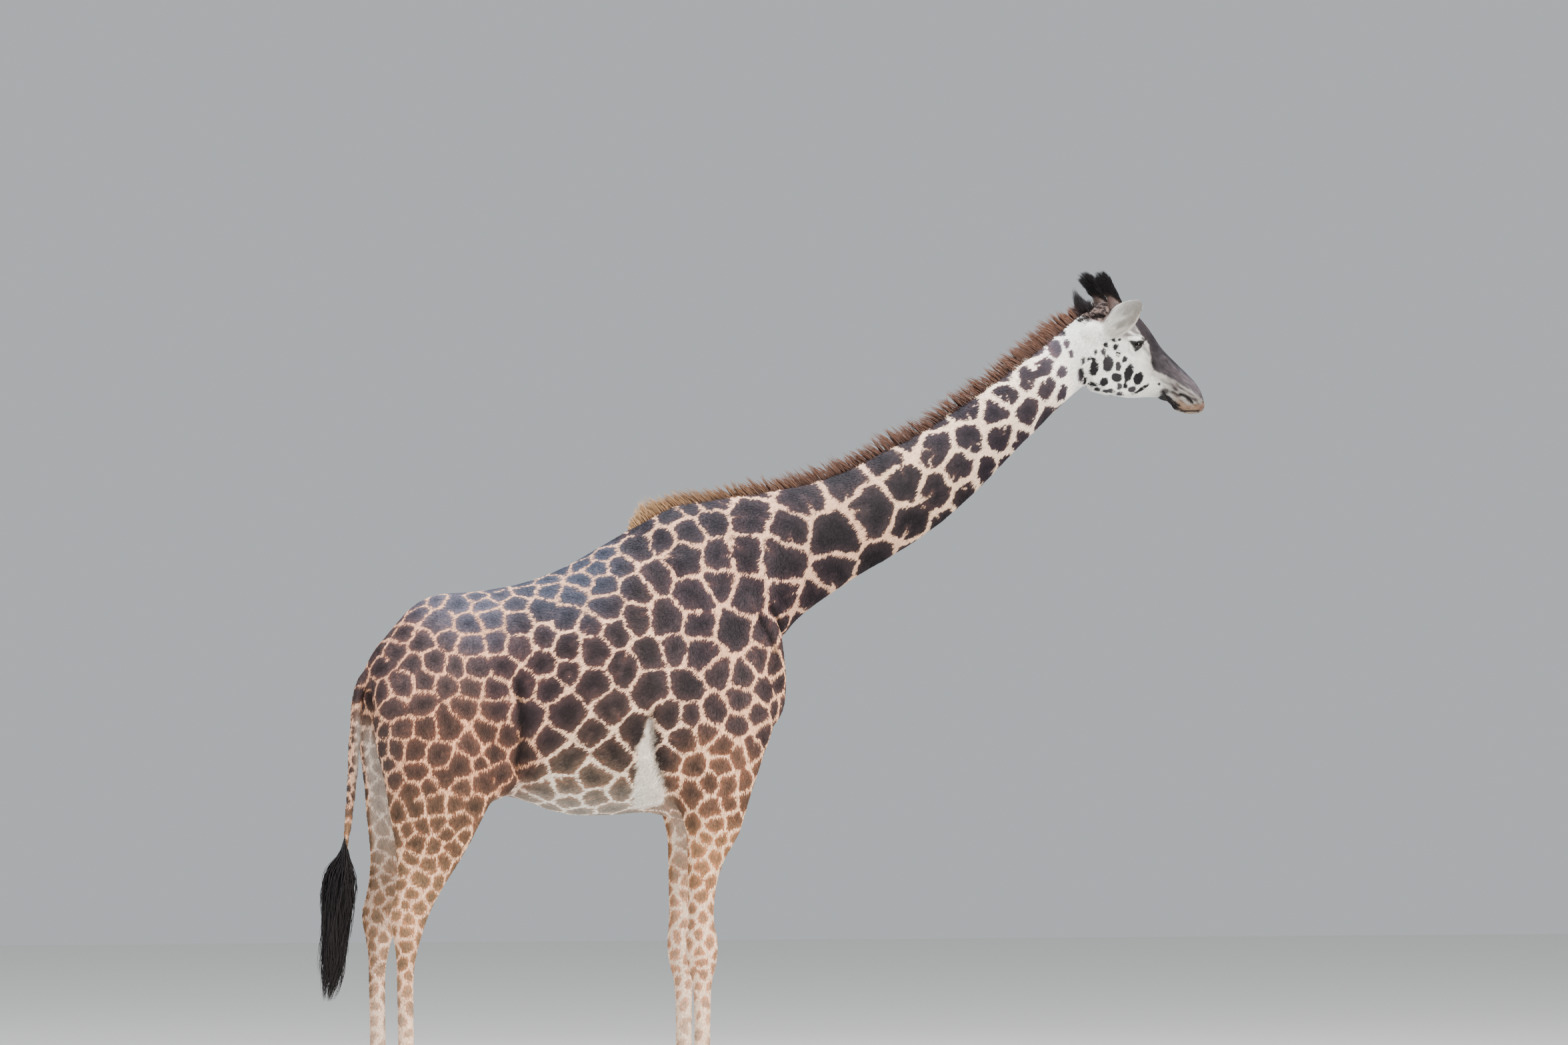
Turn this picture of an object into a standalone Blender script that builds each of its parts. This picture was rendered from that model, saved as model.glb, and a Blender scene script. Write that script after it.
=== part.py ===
"""Masai giraffe cow, life size, standing with her neck held forward.

Metres, +Z up. She faces +X, her right side is -Y and her soles are at Z = 0.
The flesh is modelled in one piece and then parted with thin cuts, so that its pieces
meet all round. The neck turns a little to her left along an arc.
"""

import math

import bmesh
import bpy
import numpy as np
from mathutils import Matrix, Vector

# ---------------------------------------------------------------- driving sizes
GAP = 0.0003  # between pieces that touch
BODY_GRAIN = 0.011  # voxel of the body before it is thinned out
HEAD_GRAIN = 0.0035
BODY_FACES = 2500  # triangles left in the flesh from the tail to the neck
HEAD_FACES = 1860

BEND_START = 0.95  # where the neck starts to turn left, measured along the body
BEND_LENGTH = 1.30
BEND_ANGLE = math.radians(12)

HEAD_CUT = 2.250  # along the top of the neck, where the head begins
# Heights of the cuts that part the legs.
FORE_TOP = 1.40
CARPUS = 0.98
HIND_TOP = 1.50
HOCK = 1.10

# ---------------------------------------------------------------- ribs
# A rib is one cross-section: the two ends of its line in the side view (x, z, x, z),
# its half width, how far its centre lies to the side, and how much wider it is
# towards its first end (negative: towards its second end).
TRUNK_RIBS = [
    (-0.692, 2.100, -0.660, 2.000, 0.070, 0, 0.00),
    (-0.655, 2.165, -0.640, 1.870, 0.130, 0, 0.05),
    (-0.600, 2.228, -0.605, 1.740, 0.185, 0, 0.05),
    (-0.500, 2.342, -0.540, 1.640, 0.228, 0, -0.10),
    (-0.390, 2.392, -0.400, 1.600, 0.250, 0, -0.12),
    (-0.240, 2.405, -0.240, 1.588, 0.268, 0, -0.10),
    (-0.060, 2.433, -0.060, 1.560, 0.295, 0, -0.10),
    (0.110, 2.492, 0.110, 1.502, 0.325, 0, -0.12),
    (0.280, 2.586, 0.290, 1.490, 0.338, 0, -0.20),
    (0.440, 2.680, 0.480, 1.502, 0.318, 0, -0.30),
    (0.580, 2.758, 0.690, 1.450, 0.280, 0, -0.36),
    (0.700, 2.778, 0.860, 1.560, 0.248, 0, -0.34),
    (0.800, 2.790, 0.962, 1.790, 0.222, 0, -0.28),
    (0.870, 2.798, 1.038, 1.960, 0.196, 0, -0.20),
    (0.940, 2.808, 1.010, 2.125, 0.172, 0, -0.12),
]
NECK_RIBS = [
    (1.000, 2.819, 1.075, 2.263, 0.154, 0, -0.05),
    (1.109, 2.836, 1.312, 2.436, 0.136, 0, -0.02),
    (1.282, 2.890, 1.489, 2.532, 0.120, 0, 0.00),
    (1.475, 2.986, 1.703, 2.670, 0.107, 0, 0.00),
    (1.677, 3.089, 1.900, 2.836, 0.097, 0, 0.00),
    (1.925, 3.256, 2.127, 3.050, 0.087, 0, 0.00),
    (2.159, 3.413, 2.347, 3.235, 0.080, 0, 0.00),
]
NAPE_RIBS = [
    (2.265, 3.490, 2.383, 3.218, 0.080, 0, 0.05),
    (2.367, 3.557, 2.419, 3.209, 0.086, 0, 0.12),
]
HEAD_RIBS = [
    (2.449, 3.584, 2.460, 3.204, 0.094, 0, 0.14),
    (2.552, 3.560, 2.511, 3.197, 0.098, 0, 0.16),
    (2.629, 3.490, 2.557, 3.191, 0.090, 0, 0.14),
    (2.698, 3.403, 2.613, 3.193, 0.073, 0, 0.08),
    (2.761, 3.345, 2.675, 3.194, 0.060, 0, 0.02),
    (2.819, 3.295, 2.735, 3.178, 0.053, 0, 0.00),
    (2.856, 3.259, 2.773, 3.143, 0.055, 0, 0.05),
    (2.883, 3.219, 2.824, 3.128, 0.050, 0, 0.05),
    (2.898, 3.178, 2.869, 3.129, 0.032, 0, 0.00),
]
SHOULDER_RIBS = [
    (0.640, 2.560, 0.500, 2.540, 0.050, 0.120, 0),
    (0.800, 2.330, 0.520, 2.280, 0.085, 0.160, 0),
    (0.925, 2.100, 0.530, 2.000, 0.110, 0.178, 0),
    (0.960, 1.880, 0.530, 1.780, 0.118, 0.182, 0),
    (0.900, 1.690, 0.535, 1.640, 0.110, 0.185, 0),
    (0.850, 1.540, 0.566, 1.520, 0.094, 0.186, 0),
]
FORE_RIBS = [
    (0.812, 1.420, 0.594, 1.420, 0.078, 0.184, 0.05),
    (0.756, 1.320, 0.598, 1.320, 0.064, 0.182, 0.05),
    (0.722, 1.220, 0.600, 1.220, 0.055, 0.180, 0),
    (0.709, 1.090, 0.602, 1.090, 0.049, 0.178, 0),
    (0.722, 1.000, 0.597, 1.010, 0.056, 0.176, 0.1),
    (0.726, 0.940, 0.594, 0.960, 0.058, 0.175, 0.1),
    (0.716, 0.870, 0.602, 0.880, 0.050, 0.174, 0.1),
    (0.701, 0.790, 0.624, 0.790, 0.037, 0.173, 0),
    (0.697, 0.550, 0.627, 0.550, 0.033, 0.171, 0),
    (0.700, 0.320, 0.624, 0.320, 0.035, 0.170, 0),
    (0.712, 0.235, 0.607, 0.225, 0.046, 0.170, 0),
    (0.728, 0.160, 0.628, 0.150, 0.044, 0.170, 0),
    (0.764, 0.098, 0.640, 0.070, 0.058, 0.170, 0),
    (0.778, 0.060, 0.652, 0.035, 0.058, 0.170, 0),
]
THIGH_RIBS = [
    (-0.200, 2.330, -0.420, 2.300, 0.050, 0.110, 0),
    (-0.110, 2.180, -0.570, 2.150, 0.088, 0.142, 0),
    (-0.080, 2.000, -0.685, 1.970, 0.118, 0.160, 0),
    (-0.110, 1.850, -0.690, 1.810, 0.120, 0.165, 0),
    (-0.132, 1.730, -0.668, 1.700, 0.115, 0.170, 0),
    (-0.170, 1.620, -0.645, 1.600, 0.102, 0.172, 0),
]
HIND_RIBS = [
    (-0.228, 1.520, -0.630, 1.510, 0.088, 0.172, 0.02),
    (-0.278, 1.420, -0.612, 1.415, 0.075, 0.170, 0.04),
    (-0.334, 1.320, -0.599, 1.320, 0.062, 0.168, 0.06),
    (-0.398, 1.220, -0.601, 1.225, 0.052, 0.166, 0.08),
    (-0.448, 1.130, -0.616, 1.145, 0.046, 0.165, 0.10),
    (-0.474, 1.070, -0.628, 1.085, 0.047, 0.165, 0.10),
    (-0.496, 1.005, -0.614, 1.010, 0.049, 0.165, 0.10),
    (-0.516, 0.930, -0.600, 0.930, 0.041, 0.165, 0.05),
    (-0.527, 0.830, -0.598, 0.830, 0.036, 0.165, 0),
    (-0.524, 0.550, -0.592, 0.550, 0.033, 0.165, 0),
    (-0.516, 0.320, -0.590, 0.320, 0.035, 0.165, 0),
    (-0.502, 0.235, -0.604, 0.225, 0.045, 0.165, 0),
    (-0.486, 0.160, -0.584, 0.150, 0.043, 0.165, 0),
    (-0.450, 0.098, -0.574, 0.070, 0.056, 0.165, 0),
    (-0.436, 0.060, -0.562, 0.035, 0.056, 0.165, 0),
]
TAIL_RIBS = [
    (-0.660, 2.100, -0.620, 1.980, 0.050, 0, 0),
    (-0.715, 2.070, -0.680, 2.010, 0.036, 0, 0),
    (-0.748, 1.970, -0.696, 1.965, 0.031, 0, 0),
    (-0.760, 1.830, -0.704, 1.830, 0.028, 0, 0),
    (-0.770, 1.660, -0.720, 1.660, 0.025, 0.004, 0),
    (-0.778, 1.500, -0.738, 1.500, 0.020, 0.010, 0),
    (-0.785, 1.400, -0.752, 1.400, 0.016, 0.016, 0),
    (-0.792, 1.310, -0.762, 1.310, 0.015, 0.022, 0),
]
TUFT_RIBS = [
    (-0.797, 1.345, -0.755, 1.345, 0.021, 0.020, 0),
    (-0.835, 1.280, -0.742, 1.275, 0.036, 0.026, 0),
    (-0.855, 1.180, -0.738, 1.170, 0.045, 0.032, 0),
    (-0.860, 1.060, -0.748, 1.055, 0.046, 0.040, 0),
    (-0.862, 0.940, -0.757, 0.935, 0.042, 0.050, 0),
    (-0.860, 0.830, -0.775, 0.830, 0.030, 0.058, 0),
    (-0.852, 0.740, -0.815, 0.740, 0.012, 0.064, 0),
]
MANE_RIBS = [
    (0.394, 2.668, 0.399, 2.620, 0.010, 0, 0),
    (0.424, 2.731, 0.459, 2.640, 0.016, 0, 0),
    (0.469, 2.772, 0.519, 2.670, 0.020, 0, 0),
    (0.559, 2.800, 0.599, 2.700, 0.024, 0, 0),
    (0.763, 2.830, 0.799, 2.730, 0.026, 0, 0),
    (0.954, 2.861, 0.990, 2.750, 0.026, 0, 0),
    (1.134, 2.909, 1.181, 2.791, 0.026, 0, 0),
    (1.336, 2.988, 1.392, 2.881, 0.026, 0, 0),
    (1.548, 3.086, 1.604, 2.982, 0.026, 0, 0),
    (1.770, 3.225, 1.837, 3.124, 0.026, 0, 0),
    (1.953, 3.350, 2.020, 3.246, 0.025, 0, 0),
    (2.090, 3.450, 2.163, 3.347, 0.024, 0, 0),
    (2.204, 3.524, 2.265, 3.429, 0.022, 0, 0),
    (2.306, 3.575, 2.337, 3.490, 0.020, 0, 0),
    (2.362, 3.586, 2.367, 3.510, 0.014, 0, 0),
]
# Lumps that shape the flesh: centre x, how far to each side, z, and the three radii.
BODY_LUMPS = [
    (-0.215, 0.115, 2.240, 0.140, 0.095, 0.105),  # hip bone
    (-0.615, 0.095, 1.990, 0.075, 0.060, 0.120),  # seat bone
    (-0.190, 0.170, 1.690, 0.095, 0.085, 0.130),  # stifle
    (0.890, 0.120, 1.960, 0.130, 0.095, 0.140),  # point of the shoulder
    (0.600, 0.195, 1.640, 0.070, 0.065, 0.095),  # elbow
    (0.560, 0.080, 2.590, 0.130, 0.060, 0.120),  # top of the shoulder blade
]
HEAD_LUMPS = [
    (2.544, 0.078, 3.412, 0.058, 0.030, 0.050),  # eye orbit
    (2.620, 0.050, 3.348, 0.095, 0.023, 0.028),  # cheek ridge
    (2.500, 0.050, 3.285, 0.110, 0.028, 0.088),  # jaw muscle
    (2.829, 0.034, 3.199, 0.044, 0.024, 0.032),  # nostril
    (2.455, 0.042, 3.532, 0.060, 0.037, 0.045),  # foot of the ossicone
    (2.378, 0.062, 3.456, 0.072, 0.036, 0.058),  # foot of the ear
]

EYE_CENTRE = (2.5462, 0.0925, 3.4082)
EYE_RADIUS = 0.0245

OSSICONE_FOOT = (2.4677, 0.060, 3.5314)
OSSICONE_TIP = (2.403, 0.070, 3.677)
# Share of the way up and radius, with the hair from the sixth row on.
OSSICONE_PROFILE = [
    (0.00, 0.042),
    (0.22, 0.033),
    (0.38, 0.0275),
    (0.50, 0.0250),
    (0.60, 0.0270),
    (0.72, 0.0310),
    (0.88, 0.0315),
    (1.00, 0.0265),
    (1.08, 0.0170),
    (1.12, 0.0050),
]
HORN_START = 0.36  # along the ossicone
HAIR_START = 0.58
EAR_CUT = 0.40  # along the ear

EAR_FOOT = (2.365, 0.086, 3.448)
EAR_TIP = (2.499, 0.232, 3.584)
EAR_OPENING = (0.797, -0.600, -0.072)  # the way the left ear's hollow faces
EAR_HALF_WIDTH = 0.064
EAR_WIDTHS = [(0, 0.56), (0.2, 0.80), (0.45, 1.0), (0.68, 0.90), (0.87, 0.55), (1, 0.18)]
EAR_THICK = 0.009

HOOF_HALF_WIDTH = 0.036  # of one claw
HOOF_SLIT = 0.012  # between the claws
# One claw from its sole up: height at the toe, height at the heel, how far its front
# and its back lie behind the toe, and its share of the full width.
HOOF_RINGS = [
    (0.000, 0.000, 0.000, 0.176, 0.96),
    (0.018, 0.014, 0.010, 0.182, 1.00),
    (0.060, 0.034, 0.044, 0.184, 0.98),
    (0.098, 0.052, 0.080, 0.176, 0.88),
]
FORE_TOE = 0.842
HIND_TOE = -0.372

JAW_LINE = [
    (2.964, 3.138),
    (2.830, 3.144),
    (2.763, 3.178),
    (2.721, 3.221),
    (2.583, 3.263),
    (2.495, 3.270),
    (2.449, 3.242),
    (2.424, 3.126),
]

HIND_STAGGER = -0.050  # the left hind foot stands this much further back

COLOURS = {
    "coat": (0.42, 0.24, 0.15),
    "face": (0.62, 0.52, 0.43),
    "mane": (0.24, 0.11, 0.06),
    "black_hair": (0.02, 0.016, 0.014),
    "eye": (0.012, 0.009, 0.008),
    "hoof": (0.07, 0.055, 0.045),
    "ear": (0.66, 0.60, 0.54),
    "leg": (0.50, 0.33, 0.22),
}
ROUGHNESS = {"eye": 0.06, "hoof": 0.45, "black_hair": 0.5}


# ---------------------------------------------------------------- scene helpers
def clear_scene():
    for thing in list(bpy.data.objects):
        bpy.data.objects.remove(thing)


def new_collection(name):
    made = bpy.data.collections.new(name)
    bpy.context.scene.collection.children.link(made)
    return made


def mesh_object(name, points, faces, collection):
    data = bpy.data.meshes.new(name)
    data.from_pydata([tuple(p) for p in points], [], faces)
    data.update()
    made = bpy.data.objects.new(name, data)
    collection.objects.link(made)
    return made


def hide_helper(thing):
    thing.hide_render = True
    thing.display_type = "WIRE"


def applied(thing):
    """Replaces a mesh by what its modifiers make of it."""
    graph = bpy.context.evaluated_depsgraph_get()
    data = bpy.data.meshes.new_from_object(thing.evaluated_get(graph))
    thing.modifiers.clear()
    thing.data = data
    return thing


def triangulate(thing):
    """Bent quads have two readings, so they become triangles before a cut."""
    work = bmesh.new()
    work.from_mesh(thing.data)
    bmesh.ops.triangulate(work, faces=work.faces)
    work.to_mesh(thing.data)
    work.free()


def boolean(thing, other, operation):
    triangulate(thing)
    cut = thing.modifiers.new(operation.lower(), "BOOLEAN")
    cut.operation = operation
    cut.solver = "EXACT"
    cut.object = other
    applied(thing)
    triangulate(thing)
    return thing


def material(kind):
    found = bpy.data.materials.get(kind)
    if found:
        return found
    made = bpy.data.materials.new(kind)
    made.use_nodes = True
    shader = made.node_tree.nodes["Principled BSDF"]
    shader.inputs["Base Color"].default_value = (*COLOURS[kind], 1)
    shader.inputs["Roughness"].default_value = ROUGHNESS.get(kind, 0.75)
    shader.inputs["Metallic"].default_value = 0
    made.diffuse_color = (*COLOURS[kind], 1)
    return made


def dress(thing, name, kind, collection):
    """Names a finished piece, gives it its material and files it."""
    thing.name = name
    thing.data.name = name
    thing.data.materials.clear()
    own = material(kind).copy()
    own.name = name
    thing.data.materials.append(own)
    thing.hide_render = False
    thing.display_type = "TEXTURED"
    for holder in list(thing.users_collection):
        holder.objects.unlink(thing)
    collection.objects.link(thing)
    return thing


# ---------------------------------------------------------------- shapes
def smooth_rows(rows, steps):
    """Rows between the given ones, on a Catmull-Rom curve through them."""
    rows = np.array(rows, float)
    ends = np.vstack([2 * rows[0] - rows[1], rows, 2 * rows[-1] - rows[-2]])
    made = []
    for a, b, c, d in zip(ends, ends[1:], ends[2:], ends[3:]):
        for k in range(steps):
            t = k / steps
            made.append(
                0.5
                * (
                    2 * b
                    + (c - a) * t
                    + (2 * a - 5 * b + 4 * c - d) * t**2
                    + (3 * b - a - 3 * c + d) * t**3
                )
            )
    made.append(rows[-1])
    return np.array(made)


def rib_ring(row, side, count):
    """The points of one rib, as an egg that stands on its line."""
    first = np.array([row[0], 0, row[1]])
    second = np.array([row[2], 0, row[3]])
    centre = (first + second) / 2 + np.array([0, side * row[5], 0])
    turn = np.arange(count) * 2 * math.pi / count
    along = np.cos(turn)[:, None]
    across = np.sin(turn) * row[4] * (1 + row[6] * np.cos(turn))
    return centre + along * (first - second) / 2 + np.outer(across, [0, 1, 0])


def tube(name, points, count, collection):
    """A closed skin over rings of points, with a flat cap at each end."""
    faces = [tuple(range(count))]
    for start in range(0, len(points) - count, count):
        for j in range(count):
            a = start + j
            b = start + (j + 1) % count
            faces.append((a, a + count, b + count, b))
    faces.append(tuple(reversed(range(len(points) - count, len(points)))))
    made = mesh_object(name, points, faces, collection)
    face_outwards(made)
    return made


def rib_loft(name, rows, collection, side=1, steps=4, count=28):
    rings = [rib_ring(row, side, count) for row in smooth_rows(rows, steps)]
    return tube(name, np.vstack(rings), count, collection)


def face_outwards(thing):
    work = bmesh.new()
    work.from_mesh(thing.data)
    bmesh.ops.recalc_face_normals(work, faces=work.faces)
    if work.calc_volume(signed=True) < 0:
        bmesh.ops.reverse_faces(work, faces=work.faces)
    work.to_mesh(thing.data)
    work.free()


def ball(name, centre, radii, collection, segments=20, rings=12):
    data = bpy.data.meshes.new(name)
    work = bmesh.new()
    bmesh.ops.create_uvsphere(work, u_segments=segments, v_segments=rings, radius=1)
    bmesh.ops.scale(work, vec=Vector(radii), verts=work.verts)
    bmesh.ops.translate(work, vec=Vector(centre), verts=work.verts)
    work.to_mesh(data)
    work.free()
    made = bpy.data.objects.new(name, data)
    collection.objects.link(made)
    return made


def lumps(rows, collection):
    made = []
    for x, off, z, *radii in rows:
        for side in (1, -1) if off else (1,):
            made.append(ball("lump", (x, side * off, z), radii, collection))
    return made


def merged(name, things, grain, rounds, broad_rounds=0):
    """One closed skin over overlapping shapes, eased where they meet.

    The broad rounds ease only the trunk and neck, as they would waste the legs.
    """
    work = bmesh.new()
    for thing in things:
        work.from_mesh(thing.data)
    data = bpy.data.meshes.new(name)
    work.to_mesh(data)
    work.free()
    made = bpy.data.objects.new(name, data)
    bpy.context.scene.collection.objects.link(made)
    hide_helper(made)
    remesh = made.modifiers.new("skin", "REMESH")
    remesh.mode = "VOXEL"
    remesh.voxel_size = grain
    ease = made.modifiers.new("ease", "SMOOTH")
    ease.factor = 0.5
    ease.iterations = rounds
    applied(made)
    if broad_rounds:
        broad = made.vertex_groups.new(name="broad")
        for vertex in made.data.vertices:
            weight = min(max((vertex.co.z - 1.42) / 0.35, 0), 1)
            weight *= min(max((vertex.co.x + 0.74) / 0.06, 0), 1)
            broad.add([vertex.index], weight, "REPLACE")
        ease = made.modifiers.new("broad ease", "SMOOTH")
        ease.factor = 0.5
        ease.iterations = broad_rounds
        ease.vertex_group = "broad"
        applied(made)
    for thing in things:
        bpy.data.objects.remove(thing)
    return made


def thinned(thing, faces):
    """Takes faces out where the shape is plain, until about this many triangles are left."""
    now = sum(len(p.vertices) - 2 for p in thing.data.polygons)
    thin = thing.modifiers.new("thin", "DECIMATE")
    thin.ratio = faces / now
    thin.use_collapse_triangulate = True
    return applied(thing)


def puffed(thing, by, name):
    """A copy of a closed mesh whose surface lies further out."""
    data = thing.data.copy()
    normals = [vertex.normal.copy() for vertex in data.vertices]
    for vertex, normal in zip(data.vertices, normals):
        vertex.co += normal * by
    made = bpy.data.objects.new(name, data)
    bpy.context.scene.collection.objects.link(made)
    hide_helper(made)
    return made


def slab(name, centre, normal, half_sizes, thick=GAP):
    """A thin box for parting the flesh: half_sizes are across its face.

    Its place is given on the straight body, and it turns with the neck.
    """
    normal = Matrix.Rotation(turn_angle(centre[0]), 3, "Z") @ Vector(normal).normalized()
    centre = turned(centre)
    across = Vector((0, 1, 0)) if abs(normal.y) < 0.9 else Vector((1, 0, 0))
    up = normal.cross(across).normalized()
    across = up.cross(normal).normalized()
    points = []
    for out in (-thick / 2, thick / 2):
        for a, b in ((-1, -1), (1, -1), (1, 1), (-1, 1)):
            points.append(
                Vector(centre)
                + normal * out
                + across * a * half_sizes[0]
                + up * b * half_sizes[1]
            )
    faces = [(0, 1, 2, 3), (7, 6, 5, 4)]
    faces += [(k, k + 4, (k + 1) % 4 + 4, (k + 1) % 4) for k in range(4)]
    made = mesh_object(name, points, faces, bpy.context.scene.collection)
    face_outwards(made)
    hide_helper(made)
    return made


def bent_slab(name, line, half_width, thick=GAP):
    """A thin strip that follows a line in the side view, for parting the jaw."""
    line = [Vector((x, 0, z)) for x, z in line]
    points = []
    for k, here in enumerate(line):
        ahead = line[min(k + 1, len(line) - 1)] - line[max(k - 1, 0)]
        off = Vector((-ahead.z, 0, ahead.x)).normalized() * thick / 2
        for y in (-half_width, half_width):
            for side in (-1, 1):
                points.append(here + off * side + Vector((0, y, 0)))
    faces = [(0, 1, 3, 2)]
    for k in range(len(line) - 1):
        a = 4 * k
        for p, q in ((0, 1), (1, 3), (3, 2), (2, 0)):
            faces.append((a + p, a + 4 + p, a + 4 + q, a + q))
    a = 4 * (len(line) - 1)
    faces.append((a, a + 2, a + 3, a + 1))
    made = mesh_object(name, points, faces, bpy.context.scene.collection)
    face_outwards(made)
    hide_helper(made)
    return turn(made)


def parted(thing, cutters):
    """The loose pieces that a solid falls into when it is cut."""
    for cutter in cutters:
        boolean(thing, cutter, "DIFFERENCE")
        bpy.data.objects.remove(cutter)
    work = bmesh.new()
    work.from_mesh(thing.data)
    seen = set()
    groups = []
    for start in work.verts:
        if start in seen:
            continue
        group = [start]
        seen.add(start)
        for vertex in group:
            for edge in vertex.link_edges:
                other = edge.other_vert(vertex)
                if other not in seen:
                    seen.add(other)
                    group.append(other)
        groups.append(group)
    pieces = []
    for group in groups:
        index = {vertex: k for k, vertex in enumerate(group)}
        points = [vertex.co.copy() for vertex in group]
        faces = [
            tuple(index[v] for v in face.verts)
            for face in work.faces
            if face.verts[0] in index
        ]
        pieces.append(
            mesh_object("piece", points, faces, bpy.context.scene.collection)
        )
    work.free()
    bpy.data.objects.remove(thing)
    return pieces


def largest(thing):
    """The main piece of a solid that a cut may have left with crumbs."""
    pieces = parted(thing, [])
    pieces.sort(key=lambda piece: -len(piece.data.vertices))
    for crumb in pieces[1:]:
        bpy.data.objects.remove(crumb)
    return pieces[0]


def cut_by(thing, other, clearance):
    """Takes another solid out of this one, with room round it."""
    cutter = puffed(other, clearance, "cutter")
    boolean(thing, cutter, "DIFFERENCE")
    bpy.data.objects.remove(cutter)
    return largest(thing)


def middle(thing):
    box = np.array([v.co for v in thing.data.vertices])
    return (box.min(axis=0) + box.max(axis=0)) / 2


# ---------------------------------------------------------------- the neck's turn
def turn_angle(x):
    return BEND_ANGLE * min(max((x - BEND_START) / BEND_LENGTH, 0), 1)


def turned(point):
    """Where a point of the straight body goes when the neck turns left."""
    radius = BEND_LENGTH / BEND_ANGLE
    along = point[0] - BEND_START
    angle = turn_angle(point[0])
    x = BEND_START + radius * math.sin(angle) + min(along, 0)
    y = radius * (1 - math.cos(angle))
    past = max(along - BEND_LENGTH, 0)
    x += past * math.cos(angle) - point[1] * math.sin(angle)
    y += past * math.sin(angle) + point[1] * math.cos(angle)
    return Vector((x, y, point[2]))


def turn(thing):
    for vertex in thing.data.vertices:
        vertex.co = turned(vertex.co)
    thing.data.update()
    return thing


# ---------------------------------------------------------------- flesh
def staggered(rows):
    """The left hind leg's ribs, which step back from the hip down."""
    made = []
    for row in rows:
        height = (row[1] + row[3]) / 2
        share = min(max((2.0 - height) / 0.9, 0), 1)
        shift = HIND_STAGGER * share * share * (3 - 2 * share)
        made.append((row[0] + shift, row[1], row[2] + shift, *row[3:]))
    return made


def model_body(helpers):
    things = [rib_loft("trunk", TRUNK_RIBS + NECK_RIBS + NAPE_RIBS[:1], helpers)]
    things.append(rib_loft("tail", TAIL_RIBS, helpers))
    for side in (1, -1):
        fore = SHOULDER_RIBS + FORE_RIBS
        hind = THIGH_RIBS + HIND_RIBS
        if side == 1:
            hind = staggered(hind)
        things.append(rib_loft("fore_leg", fore, helpers, side))
        things.append(rib_loft("hind_leg", hind, helpers, side))
    things += lumps(BODY_LUMPS, helpers)
    return turn(merged("body", things, BODY_GRAIN, 3, 40))


def model_head(helpers):
    rows = NECK_RIBS[-2:] + NAPE_RIBS + HEAD_RIBS
    things = [rib_loft("skull", rows, helpers, steps=6, count=40)]
    things += lumps(HEAD_LUMPS, helpers)
    for side in (1, -1):
        things.append(model_ear(side, helpers))
        things.append(model_ossicone(side, helpers))
    return turn(merged("head", things, HEAD_GRAIN, 14))


def half_space(name, centre, normal, size=2.0):
    """A box that covers the side of a plane that its normal points to."""
    normal = Vector(normal).normalized()
    made = slab(name, centre, normal, (size, size), 2 * size)
    shift = Matrix.Rotation(turn_angle(centre[0]), 3, "Z") @ normal * size
    for vertex in made.data.vertices:
        vertex.co += shift
    return made


# ---------------------------------------------------------------- fittings of the head
def model_ear(side, helpers):
    """A cupped leaf: it is rolled at its foot and opens towards its tip."""
    foot = Vector((EAR_FOOT[0], side * EAR_FOOT[1], EAR_FOOT[2]))
    tip = Vector((EAR_TIP[0], side * EAR_TIP[1], EAR_TIP[2]))
    out = Vector((EAR_OPENING[0], side * EAR_OPENING[1], EAR_OPENING[2])).normalized()
    axis = (tip - foot).normalized()
    out = (out - axis * out.dot(axis)).normalized()
    wide = axis.cross(out)
    length = (tip - foot).length
    columns = 6
    widths = smooth_rows(EAR_WIDTHS, 2)
    rows = len(widths) - 1
    layers = []
    for depth in (0, 1):
        grid = []
        for t, share in widths:
            width = EAR_HALF_WIDTH * share
            curl = math.radians(95 - 45 * min(t / 0.45, 1))
            radius = width / math.sin(min(curl, math.pi / 2))
            inner = radius - depth * EAR_THICK * (1 - 0.6 * t)
            for j in range(columns + 1):
                angle = (2 * j / columns - 1) * curl
                angle *= 1 - depth * 0.05
                place = foot + axis * (t * length - depth * 0.003 * t)
                place += wide * inner * math.sin(angle)
                place += out * (radius - inner * math.cos(angle))
                grid.append(place)
        layers.append(grid)
    size = (rows + 1) * (columns + 1)
    faces = []
    for i in range(rows):
        for j in range(columns):
            a = i * (columns + 1) + j
            b = a + columns + 1
            faces.append((a, a + 1, b + 1, b))
            faces.append((size + a, size + b, size + b + 1, size + a + 1))
    rim = [j for j in range(columns + 1)]
    rim += [(i + 1) * (columns + 1) + columns for i in range(rows)]
    rim += [rows * (columns + 1) + j for j in reversed(range(columns))]
    rim += [i * (columns + 1) for i in reversed(range(1, rows))]
    for a, b in zip(rim, rim[1:] + rim[:1]):
        faces.append((a, size + a, size + b, b))
    made = mesh_object("ear", layers[0] + layers[1], faces, helpers)
    face_outwards(made)
    return made


def ossicone_line(side):
    """(its foot, its tip) on the straight body."""
    mirror = (1, side, 1)
    return Vector(np.array(OSSICONE_FOOT) * mirror), Vector(np.array(OSSICONE_TIP) * mirror)


def model_ossicone(side, helpers):
    """A horn covered in skin, with a cap of hair wider than its shaft."""
    foot, tip = ossicone_line(side)
    axis = tip - foot
    wide = axis.cross(Vector((0, 1, 0))).normalized()
    deep = axis.cross(wide).normalized()
    count = 20
    points = []
    profile = smooth_rows(OSSICONE_PROFILE, 3)
    for share, radius in profile:
        for k in range(count):
            angle = 2 * math.pi * k / count
            arm = wide * math.cos(angle) + deep * math.sin(angle)
            points.append(foot + axis * share + arm * radius)
    return tube("horn", points, count, helpers)


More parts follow.
